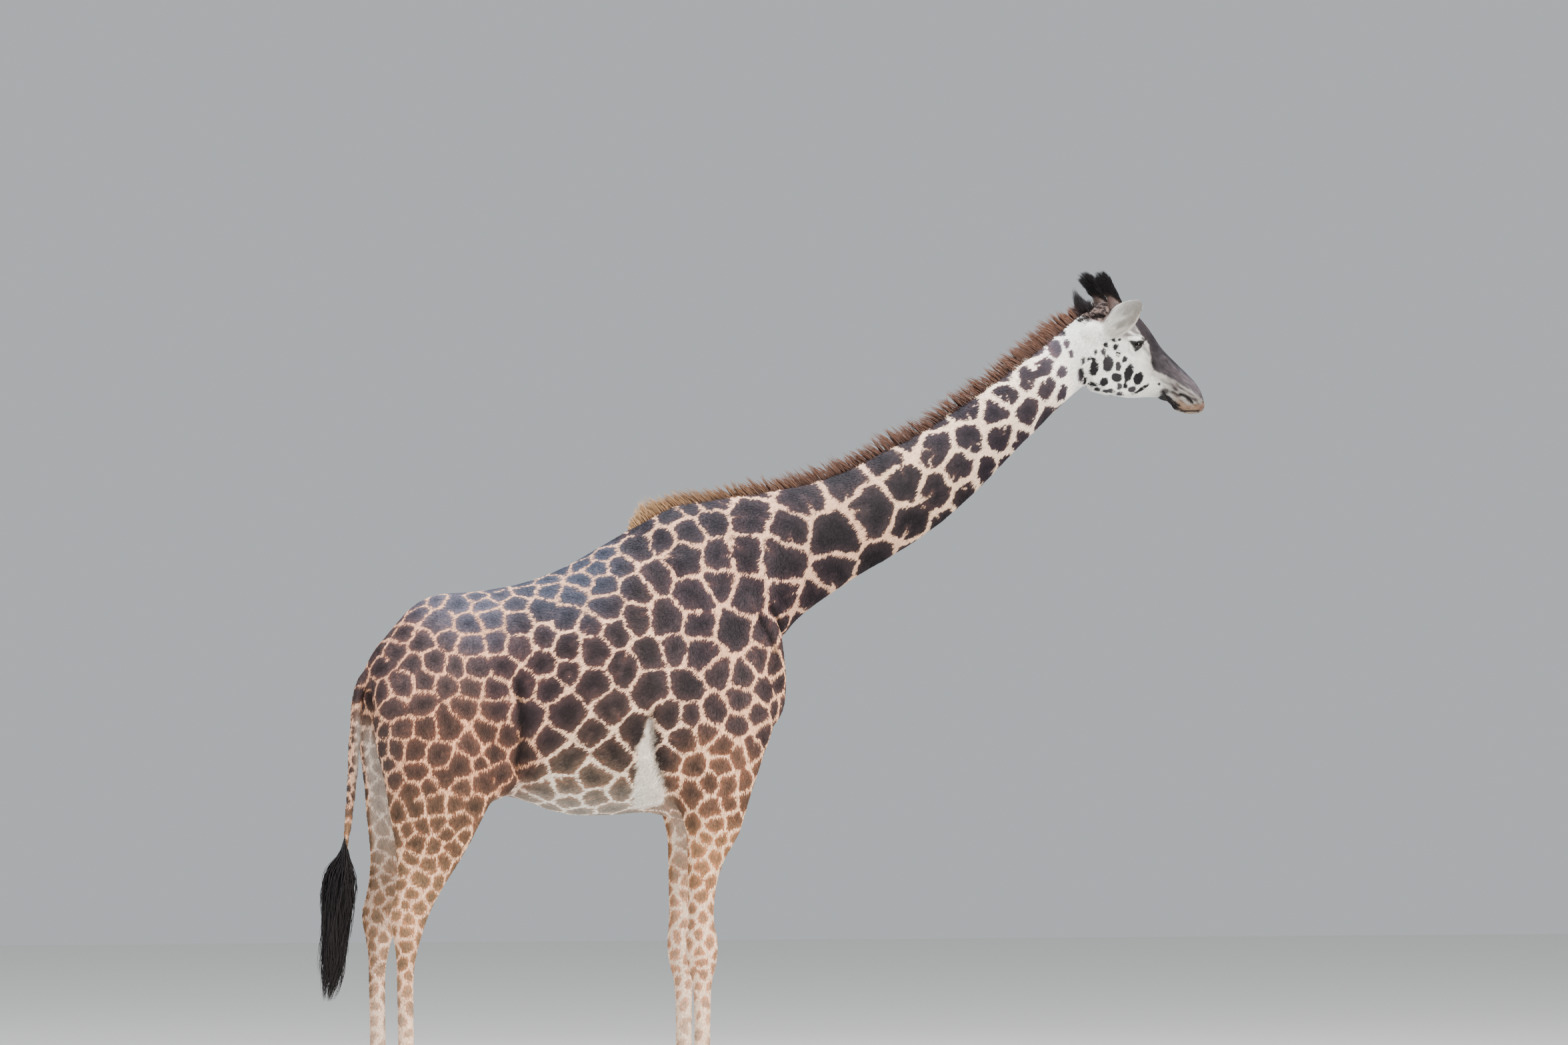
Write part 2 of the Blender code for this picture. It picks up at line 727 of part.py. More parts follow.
# ---------------------------------------------------------------- hooves
def model_claw(x, y, outer, helpers):
    """One claw: it slopes to its toe, has a flat sole and is straighter inside."""
    count = 12
    points = []
    for toe_z, heel_z, front, back, share in HOOF_RINGS:
        for k in range(count):
            angle = 2 * math.pi * k / count
            forward = (1 + math.cos(angle)) / 2
            across = math.copysign(abs(math.sin(angle)) ** 0.7, math.sin(angle))
            across *= share * (1 - 0.30 * forward**2)
            if across * outer < 0:
                across *= 0.75
            px = x - back + (back - front) * forward
            pz = heel_z + (toe_z - heel_z) * forward
            points.append((px, y + across * HOOF_HALF_WIDTH, pz))
    return tube("claw", points, count, helpers)


def feet():
    """Name, toe x, y and side of each foot."""
    for side, word in ((1, "left"), (-1, "right")):
        yield "front_" + word, FORE_TOE, side * FORE_RIBS[-1][5], side
        shift = HIND_STAGGER if side == 1 else 0
        yield "hind_" + word, HIND_TOE + shift, side * HIND_RIBS[-1][5], side


# ---------------------------------------------------------------- assembly
def foot_trims():
    """Boxes that end the flesh of each leg just above its claws."""
    toe_z, heel_z, front, back, _ = HOOF_RINGS[-1]
    slope = math.atan2(toe_z - heel_z, back - front)
    for _, toe, y, _ in feet():
        centre = Vector((toe - front, y, toe_z + GAP))
        normal = Vector((math.sin(slope), 0, -math.cos(slope)))
        yield half_space("foot_end", centre, normal, 0.13)


def part_flesh(body, parts):
    """Parts the body with thin cuts and names its pieces."""
    cuts = [
        slab("cut", (0.440, 0, 2.0), (1, 0, 0.03), (0.6, 0.9)),
        slab("cut", (-0.130, 0, 2.0), (1, 0, 0), (0.6, 0.9)),
        slab("cut", (1.010, 0, 2.52), (0.86, 0, 0.50), (0.4, 0.34)),
        slab("cut", (1.680, 0, 2.90), (0.80, 0, 0.60), (0.3, 0.30)),
        slab("cut", (-0.724, 0, 1.950), (0.20, 0, -0.98), (0.06, 0.045)),
    ]
    for side in (1, -1):
        y = side * 0.18
        x = HIND_STAGGER if side == 1 else 0
        cuts.append(slab("cut", (0.70, y, FORE_TOP), (0, 0, 1), (0.17, 0.17)))
        cuts.append(slab("cut", (0.66, y, CARPUS), (0, 0, 1), (0.12, 0.12)))
        cuts.append(slab("cut", (-0.44 + x, y, HIND_TOP), (0, 0, 1), (0.17, 0.26)))
        cuts.append(slab("cut", (-0.55 + x, y, HOCK), (0, 0, 1), (0.12, 0.12)))
    for piece in parted(body, cuts):
        x, y, z = middle(piece)
        word = "left" if y > 0 else "right"
        if x > 1.6:
            dress(piece, "neck_upper", "coat", parts)
        elif z > 2.4 and x > 0.95:
            dress(piece, "neck_lower", "coat", parts)
        elif z > 1.95 and x > 0.4:
            dress(piece, "chest", "coat", parts)
        elif z > 1.9 and x > 0:
            dress(piece, "barrel", "coat", parts)
        elif x < -0.70:
            dress(piece, "tail_dock", "coat", parts)
        elif z > 1.8:
            dress(piece, "hindquarters", "coat", parts)
        elif x > 0:
            name = "fore_leg_upper_" if z > 1.0 else "fore_leg_lower_"
            dress(piece, name + word, "leg", parts)
        else:
            name = "hind_leg_upper_" if z > 1.1 else "hind_leg_lower_"
            dress(piece, name + word, "leg", parts)


def part_head(head, parts):
    cuts = [bent_slab("cut", JAW_LINE, 0.12)]
    for side in (1, -1):
        foot = Vector(np.array(EAR_FOOT) * (1, side, 1))
        along = Vector(np.array(EAR_TIP) * (1, side, 1)) - foot
        opening = Vector(EAR_OPENING)
        opening.y *= side
        centre = foot + along * EAR_CUT + opening * EAR_HALF_WIDTH * 0.3
        cuts.append(slab("cut", centre, along, (0.085, 0.085)))
        foot, tip = ossicone_line(side)
        for share in (HORN_START, HAIR_START):
            centre = foot + (tip - foot) * share
            cuts.append(slab("cut", centre, tip - foot, (0.042, 0.042)))
    for piece in parted(head, cuts):
        x, y, z = middle(piece)
        word = "left" if y > 0.17 else "right"
        if z > 3.64:
            dress(piece, "ossicone_hair_" + word, "black_hair", parts)
        elif z > 3.57:
            dress(piece, "ossicone_" + word, "coat", parts)
        elif z > 3.50:
            dress(piece, "ear_" + word, "ear", parts)
        else:
            dress(piece, "lower_jaw" if z < 3.25 else "head", "face", parts)


def head_cut(side):
    """The half space ahead of the head's cut (1) or behind it (-1)."""
    centre = Vector((HEAD_CUT, 0, 3.34))
    normal = Vector((0.72, 0, 0.69)).normalized()
    return half_space("cut", centre - normal * side * GAP / 2, normal * side, 0.9)


def settle(parts):
    """Moves everything so that the middle of its box stands over the origin."""
    corners = np.array([v.co for thing in parts.objects for v in thing.data.vertices])
    centre = (corners.min(axis=0) + corners.max(axis=0)) / 2
    shift = Matrix.Translation((-centre[0], -centre[1], 0))
    for thing in parts.objects:
        thing.data.transform(shift)


def build():
    clear_scene()
    parts = new_collection("Giraffe")
    helpers = new_collection("Cutters")

    body = model_body(helpers)
    head = model_head(helpers)
    thinned(body, BODY_FACES)
    thinned(head, HEAD_FACES)
    boolean(body, head_cut(1), "DIFFERENCE")
    boolean(head, head_cut(-1), "DIFFERENCE")
    for trim in foot_trims():
        boolean(body, trim, "DIFFERENCE")
        bpy.data.objects.remove(trim)

    for side, word in ((1, "left"), (-1, "right")):
        centre = np.array(EYE_CENTRE) * (1, side, 1)
        socket = turn(ball("socket", centre, [EYE_RADIUS + GAP] * 3, helpers, 14, 9))
        boolean(head, socket, "DIFFERENCE")
        bpy.data.objects.remove(socket)
        eye = turn(ball("eye", centre, [EYE_RADIUS] * 3, helpers, 14, 9))
        dress(eye, "eye_" + word, "eye", parts)

    mane = turn(rib_loft("mane", MANE_RIBS, helpers, steps=1, count=6))
    mane = cut_by(cut_by(mane, body, 2 * GAP), head, 2 * GAP)
    dress(mane, "mane", "mane", parts)
    tuft = cut_by(rib_loft("tuft", TUFT_RIBS, helpers, steps=2, count=10), body, 2 * GAP)
    dress(tuft, "tail_tuft", "black_hair", parts)

    part_flesh(body, parts)
    part_head(head, parts)
    for name, toe, y, side in feet():
        for word, off in (("inner", -side), ("outer", side)):
            offset = off * (HOOF_HALF_WIDTH * 0.75 + HOOF_SLIT / 2)
            claw = model_claw(toe, y + offset, off, helpers)
            dress(claw, "hoof_" + name + "_" + word, "hoof", parts)

    settle(parts)
    for thing in list(helpers.objects):
        bpy.data.objects.remove(thing)


build()
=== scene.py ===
"""Masai giraffe cow, life size: skin, coat, mane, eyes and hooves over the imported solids.

Everything is shaped on a straight neck and then turned with it, as the solids are.
Metres, +Z up. She faces +X, her right side is -Y and her soles are at Z = 0.
"""

import math

import bmesh
import bpy
import numpy as np
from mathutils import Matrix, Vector
from mathutils.bvhtree import BVHTree
from mathutils.kdtree import KDTree


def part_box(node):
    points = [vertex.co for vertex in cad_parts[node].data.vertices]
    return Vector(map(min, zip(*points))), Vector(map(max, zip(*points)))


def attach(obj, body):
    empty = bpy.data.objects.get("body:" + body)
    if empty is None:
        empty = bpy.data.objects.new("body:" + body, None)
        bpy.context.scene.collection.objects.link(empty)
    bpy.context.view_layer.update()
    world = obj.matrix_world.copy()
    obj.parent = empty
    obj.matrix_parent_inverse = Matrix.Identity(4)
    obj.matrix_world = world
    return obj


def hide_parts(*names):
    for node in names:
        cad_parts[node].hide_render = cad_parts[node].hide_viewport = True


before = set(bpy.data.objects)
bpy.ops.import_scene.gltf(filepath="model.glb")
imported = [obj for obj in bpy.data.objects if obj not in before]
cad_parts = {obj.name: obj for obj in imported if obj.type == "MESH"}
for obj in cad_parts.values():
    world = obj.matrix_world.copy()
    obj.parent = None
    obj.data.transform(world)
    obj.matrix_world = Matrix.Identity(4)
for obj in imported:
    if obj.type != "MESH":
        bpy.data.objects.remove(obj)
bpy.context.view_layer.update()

# ---------------------------------------------------------------- body skin
# Trunk, neck, legs and tail are one skin over muscle. Ribs across each length give its
# form; a fine remesh joins them, as flesh runs from one into the next with no seam.
BODY_GRAIN = 0.0136
HEAD_GRAIN = 0.0032
# One rib: the two ends of its line in the side view (x, z, x, z), its half width, how
# far its centre lies to the side, and how much wider it is towards its first end.
TRUNK_RIBS = [
    (-0.692, 2.100, -0.660, 2.000, 0.070, 0, 0.00),
    (-0.655, 2.165, -0.640, 1.870, 0.130, 0, 0.05),
    (-0.600, 2.228, -0.605, 1.740, 0.185, 0, 0.05),
    (-0.500, 2.342, -0.540, 1.640, 0.228, 0, -0.10),
    (-0.390, 2.392, -0.400, 1.600, 0.250, 0, -0.12),
    (-0.240, 2.405, -0.240, 1.588, 0.268, 0, -0.10),
    (-0.060, 2.433, -0.060, 1.560, 0.295, 0, -0.10),
    (0.110, 2.492, 0.110, 1.502, 0.325, 0, -0.12),
    (0.280, 2.586, 0.290, 1.490, 0.338, 0, -0.20),
    (0.440, 2.680, 0.480, 1.502, 0.318, 0, -0.30),
    (0.580, 2.758, 0.690, 1.450, 0.280, 0, -0.36),
    (0.700, 2.778, 0.860, 1.560, 0.248, 0, -0.34),
    (0.800, 2.790, 0.962, 1.790, 0.222, 0, -0.28),
    (0.870, 2.798, 1.038, 1.960, 0.196, 0, -0.20),
    (0.940, 2.808, 1.010, 2.125, 0.172, 0, -0.12),
]
NECK_RIBS = [
    (1.000, 2.819, 1.075, 2.263, 0.154, 0, -0.05),
    (1.109, 2.836, 1.312, 2.436, 0.136, 0, -0.02),
    (1.282, 2.890, 1.489, 2.532, 0.120, 0, 0.00),
    (1.475, 2.986, 1.703, 2.670, 0.107, 0, 0.00),
    (1.677, 3.089, 1.900, 2.836, 0.097, 0, 0.00),
    (1.925, 3.256, 2.127, 3.050, 0.087, 0, 0.00),
    (2.159, 3.413, 2.347, 3.235, 0.080, 0, 0.00),
]
NAPE_RIBS = [
    (2.265, 3.490, 2.383, 3.218, 0.080, 0, 0.05),
    (2.367, 3.557, 2.419, 3.209, 0.086, 0, 0.12),
]
SHOULDER_RIBS = [
    (0.640, 2.560, 0.500, 2.540, 0.050, 0.120, 0),
    (0.800, 2.330, 0.520, 2.280, 0.085, 0.160, 0),
    (0.925, 2.100, 0.530, 2.000, 0.110, 0.178, 0),
    (0.960, 1.880, 0.530, 1.780, 0.118, 0.182, 0),
    (0.900, 1.690, 0.535, 1.640, 0.110, 0.185, 0),
    (0.850, 1.540, 0.566, 1.520, 0.094, 0.186, 0),
]
FORE_RIBS = [
    (0.812, 1.420, 0.594, 1.420, 0.078, 0.184, 0.05),
    (0.756, 1.320, 0.598, 1.320, 0.064, 0.182, 0.05),
    (0.722, 1.220, 0.600, 1.220, 0.055, 0.180, 0),
    (0.709, 1.090, 0.602, 1.090, 0.049, 0.178, 0),
    (0.722, 1.000, 0.597, 1.010, 0.056, 0.176, 0.1),
    (0.726, 0.940, 0.594, 0.960, 0.058, 0.175, 0.1),
    (0.716, 0.870, 0.602, 0.880, 0.050, 0.174, 0.1),
    (0.701, 0.790, 0.624, 0.790, 0.037, 0.173, 0),
    (0.697, 0.550, 0.627, 0.550, 0.033, 0.171, 0),
    (0.700, 0.320, 0.624, 0.320, 0.035, 0.170, 0),
    (0.712, 0.235, 0.607, 0.225, 0.046, 0.170, 0),
    (0.728, 0.160, 0.628, 0.150, 0.044, 0.170, 0),
    (0.764, 0.098, 0.640, 0.070, 0.058, 0.170, 0),
    (0.772, 0.078, 0.650, 0.052, 0.056, 0.170, 0),
]
THIGH_RIBS = [
    (-0.200, 2.330, -0.420, 2.300, 0.050, 0.110, 0),
    (-0.110, 2.180, -0.570, 2.150, 0.088, 0.142, 0),
    (-0.080, 2.000, -0.685, 1.970, 0.118, 0.160, 0),
    (-0.110, 1.850, -0.690, 1.810, 0.120, 0.165, 0),
    (-0.132, 1.730, -0.668, 1.700, 0.115, 0.170, 0),
    (-0.170, 1.620, -0.645, 1.600, 0.102, 0.172, 0),
]
HIND_RIBS = [
    (-0.228, 1.520, -0.630, 1.510, 0.088, 0.172, 0.02),
    (-0.278, 1.420, -0.612, 1.415, 0.075, 0.170, 0.04),
    (-0.334, 1.320, -0.599, 1.320, 0.062, 0.168, 0.06),
    (-0.398, 1.220, -0.601, 1.225, 0.052, 0.166, 0.08),
    (-0.448, 1.130, -0.616, 1.145, 0.046, 0.165, 0.10),
    (-0.474, 1.070, -0.628, 1.085, 0.047, 0.165, 0.10),
    (-0.496, 1.005, -0.614, 1.010, 0.049, 0.165, 0.10),
    (-0.516, 0.930, -0.600, 0.930, 0.041, 0.165, 0.05),
    (-0.527, 0.830, -0.598, 0.830, 0.036, 0.165, 0),
    (-0.524, 0.550, -0.592, 0.550, 0.033, 0.165, 0),
    (-0.516, 0.320, -0.590, 0.320, 0.035, 0.165, 0),
    (-0.502, 0.235, -0.604, 0.225, 0.045, 0.165, 0),
    (-0.486, 0.160, -0.584, 0.150, 0.043, 0.165, 0),
    (-0.450, 0.098, -0.574, 0.070, 0.056, 0.165, 0),
    (-0.442, 0.078, -0.566, 0.052, 0.054, 0.165, 0),
]
TAIL_RIBS = [
    (-0.660, 2.100, -0.620, 1.980, 0.050, 0, 0),
    (-0.715, 2.070, -0.680, 2.010, 0.036, 0, 0),
    (-0.748, 1.970, -0.696, 1.965, 0.031, 0, 0),
    (-0.760, 1.830, -0.704, 1.830, 0.028, 0, 0),
    (-0.770, 1.660, -0.720, 1.660, 0.025, 0.004, 0),
    (-0.778, 1.500, -0.738, 1.500, 0.020, 0.010, 0),
    (-0.785, 1.400, -0.752, 1.400, 0.016, 0.016, 0),
    (-0.790, 1.330, -0.760, 1.330, 0.013, 0.021, 0),
]
# Lumps under the skin: centre x, how far to each side, z, and the three radii.
BODY_LUMPS = [
    (-0.215, 0.115, 2.240, 0.140, 0.095, 0.105),  # hip bone
    (-0.615, 0.095, 1.990, 0.075, 0.060, 0.120),  # seat bone
    (-0.190, 0.170, 1.690, 0.095, 0.085, 0.130),  # stifle
    (0.890, 0.120, 1.960, 0.130, 0.095, 0.140),  # point of the shoulder
    (0.600, 0.195, 1.640, 0.070, 0.065, 0.095),  # elbow
    (0.560, 0.080, 2.590, 0.130, 0.060, 0.120),  # top of the shoulder blade
]
HIND_STAGGER = -0.050  # the left hind foot stands this much further back
NECK_CUT = (2.250, 0, 3.34)  # where the coarse skin hands over to the finer head
NECK_CUT_NORMAL = (0.72, 0, 0.69)


def smooth_rows(rows, steps):
    """Rows between the given ones, on a Catmull-Rom curve through them."""
    rows = np.array(rows, float)
    ends = np.vstack([2 * rows[0] - rows[1], rows, 2 * rows[-1] - rows[-2]])
    made = []
    for a, b, c, d in zip(ends, ends[1:], ends[2:], ends[3:]):
        for t in np.arange(steps) / steps:
            bend = (2 * a - 5 * b + 4 * c - d) * t**2 + (3 * b - a - 3 * c + d) * t**3
            made.append(0.5 * (2 * b + (c - a) * t + bend))
    made.append(rows[-1])
    return np.array(made)


def tube(rings):
    """(points, faces) of a closed skin over rings that all have the same count."""
    count = len(rings[0])
    points = np.vstack(rings)
    faces = [tuple(range(count))]
    for start in range(0, len(points) - count, count):
        for j in range(count):
            k = (j + 1) % count
            faces.append((start + j, start + j + count, start + k + count, start + k))
    faces.append(tuple(reversed(range(len(points) - count, len(points)))))
    return points, faces


def rib_loft(rows, side=1, steps=4, count=28):
    """A closed tube through ribs, on the left (side 1) or mirrored to the right."""
    angle = np.arange(count) * 2 * math.pi / count
    rings = []
    for row in smooth_rows(rows, steps):
        first = np.array([row[0], 0, row[1]])
        second = np.array([row[2], 0, row[3]])
        centre = (first + second) / 2 + np.array([0, side * row[5], 0])
        across = np.sin(angle) * row[4] * (1 + row[6] * np.cos(angle))
        along = np.outer(np.cos(angle), (first - second) / 2)
        rings.append(centre + along + np.outer(across, [0, 1, 0]))
    return tube(rings)


def ball(centre, radii, columns=24, rows=14):
    """A closed ball with its poles above and below."""
    turn = np.arange(columns) * 2 * math.pi / columns
    rings = []
    for tilt in np.linspace(0.02, math.pi - 0.02, rows):
        flat = np.stack([np.cos(turn), np.sin(turn), 0 * turn], 1) * math.sin(tilt)
        rings.append(np.array(centre) + (flat + [0, 0, math.cos(tilt)]) * radii)
    return tube(rings)


def lumps(rows):
    """The balls of a table of lumps, on both sides."""
    for x, off, z, *radii in rows:
        for side in (1, -1):
            yield ball((x, side * off, z), radii)


def mesh_of(points, faces, name="shape"):
    data = bpy.data.meshes.new(name)
    data.from_pydata([tuple(p) for p in points], [], faces)
    return data


def faced_out(data):
    """The same closed mesh, with its faces pointing outwards."""
    work = bmesh.new()
    work.from_mesh(data)
    bmesh.ops.recalc_face_normals(work, faces=work.faces)
    if work.calc_volume(signed=True) < 0:
        bmesh.ops.reverse_faces(work, faces=work.faces)
    work.to_mesh(data)
    work.free()
    return data


def closed_skin(shapes, grain):
    """A mesh object: one skin over overlapping closed shapes."""
    work = bmesh.new()
    for points, faces in shapes:
        work.from_mesh(faced_out(mesh_of(points, faces)))
    data = bpy.data.meshes.new("skin")
    work.to_mesh(data)
    work.free()
    made = bpy.data.objects.new("skin", data)
    bpy.context.scene.collection.objects.link(made)
    remesh = made.modifiers.new("join", "REMESH")
    remesh.mode = "VOXEL"
    remesh.voxel_size = grain
    return settled(made)


def settled(thing):
    """Takes the modifiers' result as the mesh itself."""
    graph = bpy.context.evaluated_depsgraph_get()
    data = bpy.data.meshes.new_from_object(thing.evaluated_get(graph))
    thing.modifiers.clear()
    thing.data = data
    return thing


def eased(thing, rounds, weights=None):
    """Evens a skin out; weights say how much at each of its points."""
    ease = thing.modifiers.new("ease", "SMOOTH")
    ease.factor = 0.5
    ease.iterations = rounds
    if weights is not None:
        group = thing.vertex_groups.new(name="ease")
        for index, weight in enumerate(weights):
            group.add([index], float(weight), "REPLACE")
        ease.vertex_group = "ease"
    settled(thing)
    thing.vertex_groups.clear()
    return thing


def vertices_of(data):
    points = np.empty(len(data.vertices) * 3)
    data.vertices.foreach_get("co", points)
    return points.reshape(-1, 3)


def normals_of(data):
    normals = np.empty(len(data.vertices) * 3)
    data.vertices.foreach_get("normal", normals)
    return normals.reshape(-1, 3)


def put_vertices(data, points):
    data.vertices.foreach_set("co", np.ravel(points))
    data.update()


def ramp(low, high, value):
    """0 below low, 1 above high and smooth between; low may be above high."""
    share = np.clip((value - low) / (high - low), 0, 1)
    return share * share * (3 - 2 * share)


def near_line(points, line, flat=True):
    """(distance to a broken line, share along it), in the side view if flat."""
    line = np.array(line, float)
    best = np.full(len(points), 9.0)
    share = np.zeros(len(points))
    where = points[:, [0, 2]] if flat else points
    for k, (a, b) in enumerate(zip(line, line[1:])):
        step = b - a
        t = np.clip(((where - a) @ step) / (step @ step), 0, 1)
        far = np.linalg.norm(where - a - t[:, None] * step, axis=1)
        closer = far < best
        best[closer] = far[closer]
        share[closer] = (k + t[closer]) / (len(line) - 1)
    return best, share


def speckle(points, size, seed):
    """Smooth noise from -1 to 1 that changes over about this size."""
    place = points / size
    cell = np.floor(place).astype(np.int64)
    part = place - cell
    part = part * part * (3 - 2 * part)
    total = np.zeros(len(points))
    for corner in range(8):
        step = np.array([corner & 1, corner >> 1 & 1, corner >> 2 & 1])
        x, y, z = ((cell + step) * (73856093, 19349663, 83492791)).T
        mixed = (x ^ y ^ z ^ (seed * 668265263)) & 0x7FFFFFFF
        mixed = (mixed * 1103515245 + 12345) & 0x7FFFFFFF
        mixed = ((mixed >> 13) ^ mixed) * 1274126177 & 0x7FFFFFFF
        weight = np.prod(np.where(step, part, 1 - part), axis=1)
        total += weight * mixed / 0x7FFFFFFF
    return 2 * total - 1


def staggered(rows):
    """The left hind leg's ribs, which step back from the hip down."""
    made = []
    for row in rows:
        share = ramp(2.0, 1.1, (row[1] + row[3]) / 2)
        shift = HIND_STAGGER * share
        made.append((row[0] + shift, row[1], row[2] + shift, *row[3:]))
    return made


body_shapes = [rib_loft(TRUNK_RIBS + NECK_RIBS + NAPE_RIBS[:1]), rib_loft(TAIL_RIBS)]
for side in (1, -1):
    hind_ribs = THIGH_RIBS + HIND_RIBS
    body_shapes.append(rib_loft(SHOULDER_RIBS + FORE_RIBS, side))
    body_shapes.append(rib_loft(staggered(hind_ribs) if side > 0 else hind_ribs, side))
body_shapes += lumps(BODY_LUMPS)
body = eased(closed_skin(body_shapes, BODY_GRAIN), 3)
spots = vertices_of(body.data)
eased(body, 26, ramp(1.42, 1.77, spots[:, 2]) * ramp(-0.74, -0.68, spots[:, 0]))

# Folds and hollows that show under a short coat: the flank fold, the arm pit, the creases
# where the neck meets the chest, the groove of the throat and the tendons of the legs.
FOLDS = [
    # line in the side view, how deep, how wide, least |y|
    ([(-0.125, 2.10), (-0.098, 1.84), (-0.116, 1.62)], 0.024, 0.022, 0.10),
    ([(0.415, 1.96), (0.440, 1.78), (0.500, 1.60)], 0.022, 0.028, 0.10),
    ([(0.930, 2.370), (0.995, 2.275), (1.050, 2.160)], 0.018, 0.015, 0.02),
    ([(0.880, 2.330), (0.935, 2.230), (0.990, 2.110)], 0.012, 0.014, 0.02),
    ([(0.560, 2.560), (0.480, 2.300), (0.440, 2.000)], 0.010, 0.050, 0.05),
    ([(0.800, 2.560), (0.900, 2.360), (0.930, 2.200)], 0.009, 0.045, 0.05),
    ([(-0.300, 2.200), (-0.420, 1.950), (-0.480, 1.700)], 0.007, 0.045, 0.08),
]
spots = vertices_of(body.data)
outward = normals_of(body.data)
for line, deep, wide, least in FOLDS:
    far, share = near_line(spots, line)
    push = deep * np.exp(-((far / wide) ** 2)) * ramp(0, 0.25, share) * ramp(1, 0.75, share)
    push *= ramp(least - 0.03, least + 0.03, np.abs(spots[:, 1]))
    spots -= outward * push[:, None]
# Ribs show faintly along the side, and the skin is never quite even.
RIB_APART = 0.072
side_of_barrel = ramp(-0.10, 0.05, spots[:, 0]) * ramp(0.50, 0.38, spots[:, 0])
side_of_barrel *= ramp(1.62, 1.80, spots[:, 2]) * ramp(2.35, 2.15, spots[:, 2])
rib_wave = np.sin((spots[:, 0] + 0.25 * (spots[:, 2] - 2)) * 2 * math.pi / RIB_APART)
unevenness = 0.0022 * speckle(spots, 0.11, 1) + 0.0012 * speckle(spots, 0.05, 2)
unevenness *= ramp(1.2, 1.6, spots[:, 2])
spots += outward * (0.0012 * side_of_barrel * rib_wave + unevenness)[:, None]
put_vertices(body.data, spots)
eased(body, 1)

# ---------------------------------------------------------------- head skin
# A finer skin over the skull: brow and eye sockets, crest of the cheek, jaw muscle, loose
# lips, and the ears as cupped leaves of gristle. It is joined to the neck in one mesh.
HEAD_RIBS = [
    (2.449, 3.584, 2.460, 3.204, 0.094, 0, 0.14),
    (2.552, 3.560, 2.511, 3.197, 0.098, 0, 0.16),
    (2.629, 3.490, 2.557, 3.191, 0.090, 0, 0.14),
    (2.698, 3.403, 2.613, 3.193, 0.073, 0, 0.08),
    (2.761, 3.345, 2.675, 3.194, 0.060, 0, 0.02),
    (2.819, 3.295, 2.735, 3.178, 0.053, 0, 0.00),
    (2.856, 3.259, 2.773, 3.143, 0.055, 0, 0.05),
    (2.883, 3.219, 2.824, 3.128, 0.050, 0, 0.05),
    (2.898, 3.178, 2.869, 3.129, 0.032, 0, 0.00),
    (2.904, 3.163, 2.887, 3.134, 0.017, 0, 0.00),
]
HEAD_LUMPS = [
    (2.544, 0.078, 3.412, 0.058, 0.030, 0.050),  # eye socket
    (2.620, 0.050, 3.348, 0.095, 0.023, 0.028),  # crest of the cheek
    (2.500, 0.050, 3.285, 0.110, 0.028, 0.088),  # jaw muscle
    (2.829, 0.034, 3.199, 0.044, 0.024, 0.032),  # nostril
    (2.455, 0.042, 3.532, 0.060, 0.037, 0.045),  # foot of the ossicone
    (2.378, 0.062, 3.456, 0.072, 0.036, 0.058),  # foot of the ear
]
EAR_FOOT = (2.365, 0.086, 3.448)
EAR_TIP = (2.499, 0.232, 3.584)
EAR_OPENING = (0.797, -0.600, -0.072)  # the way the left ear's hollow faces
EAR_HALF_WIDTH = 0.064
EAR_WIDTHS = [(0, 0.56), (0.2, 0.80), (0.45, 1.0), (0.68, 0.90), (0.87, 0.55), (1, 0.18)]
EAR_THICK = 0.0105
HEAD_SHARE = 0.32  # of the head's fine faces, kept where they are needed most
SEAM_GAP = 0.004  # each side of the cut, filled with a ring of faces
EYE_CENTRE = np.array([2.5462, 0.0925, 3.4082])
EYE_RADIUS = 0.0245


def unit(vector):
    return np.array(vector, float) / np.linalg.norm(vector)


def ear_frame(side):
    """(foot, length, along, across, the way its hollow faces) of one ear."""
    foot = np.array(EAR_FOOT) * [1, side, 1]
    span = np.array(EAR_TIP) * [1, side, 1] - foot
    along = unit(span)
    out = np.array(EAR_OPENING) * [1, side, 1]
    out = unit(out - along * (out @ along))
    return foot, np.linalg.norm(span), along, np.cross(along, out), out


def ear_leaf(side, columns=22):
    """A cupped leaf: it is rolled at its foot and opens towards its tip."""
    foot, length, along, across, out = ear_frame(side)
    widths = smooth_rows(EAR_WIDTHS, 6)
    layers = []
    for depth in (0, 1):
        for t, share in widths:
            width = EAR_HALF_WIDTH * share
            curl = math.radians(95 - 45 * min(t / 0.45, 1))
            radius = width / math.sin(min(curl, math.pi / 2))
            inner = radius - depth * EAR_THICK * (1 - 0.35 * t)
            angle = np.linspace(-1, 1, columns + 1) * curl * (1 - depth * 0.05)
            place = foot + along * (t * length - depth * 0.003 * t)
            place = place + np.outer(inner * np.sin(angle), across)
            layers.append(place + np.outer(radius - inner * np.cos(angle), out))
    rows = len(widths) - 1
    wide = columns + 1
    size = (rows + 1) * wide
    faces = []
    for i in range(rows):
        for j in range(columns):
            a = i * wide + j
            faces.append((a, a + 1, a + wide + 1, a + wide))
            faces.append((size + a, size + a + wide, size + a + wide + 1, size + a + 1))
    rim = list(range(wide)) + [(i + 2) * wide - 1 for i in range(rows)]
    rim += [rows * wide + j for j in reversed(range(columns))]
    rim += [i * wide for i in reversed(range(1, rows))]
    for a, b in zip(rim, rim[1:] + rim[:1]):
        faces.append((a, size + a, size + b, b))
    return np.vstack(layers), faces


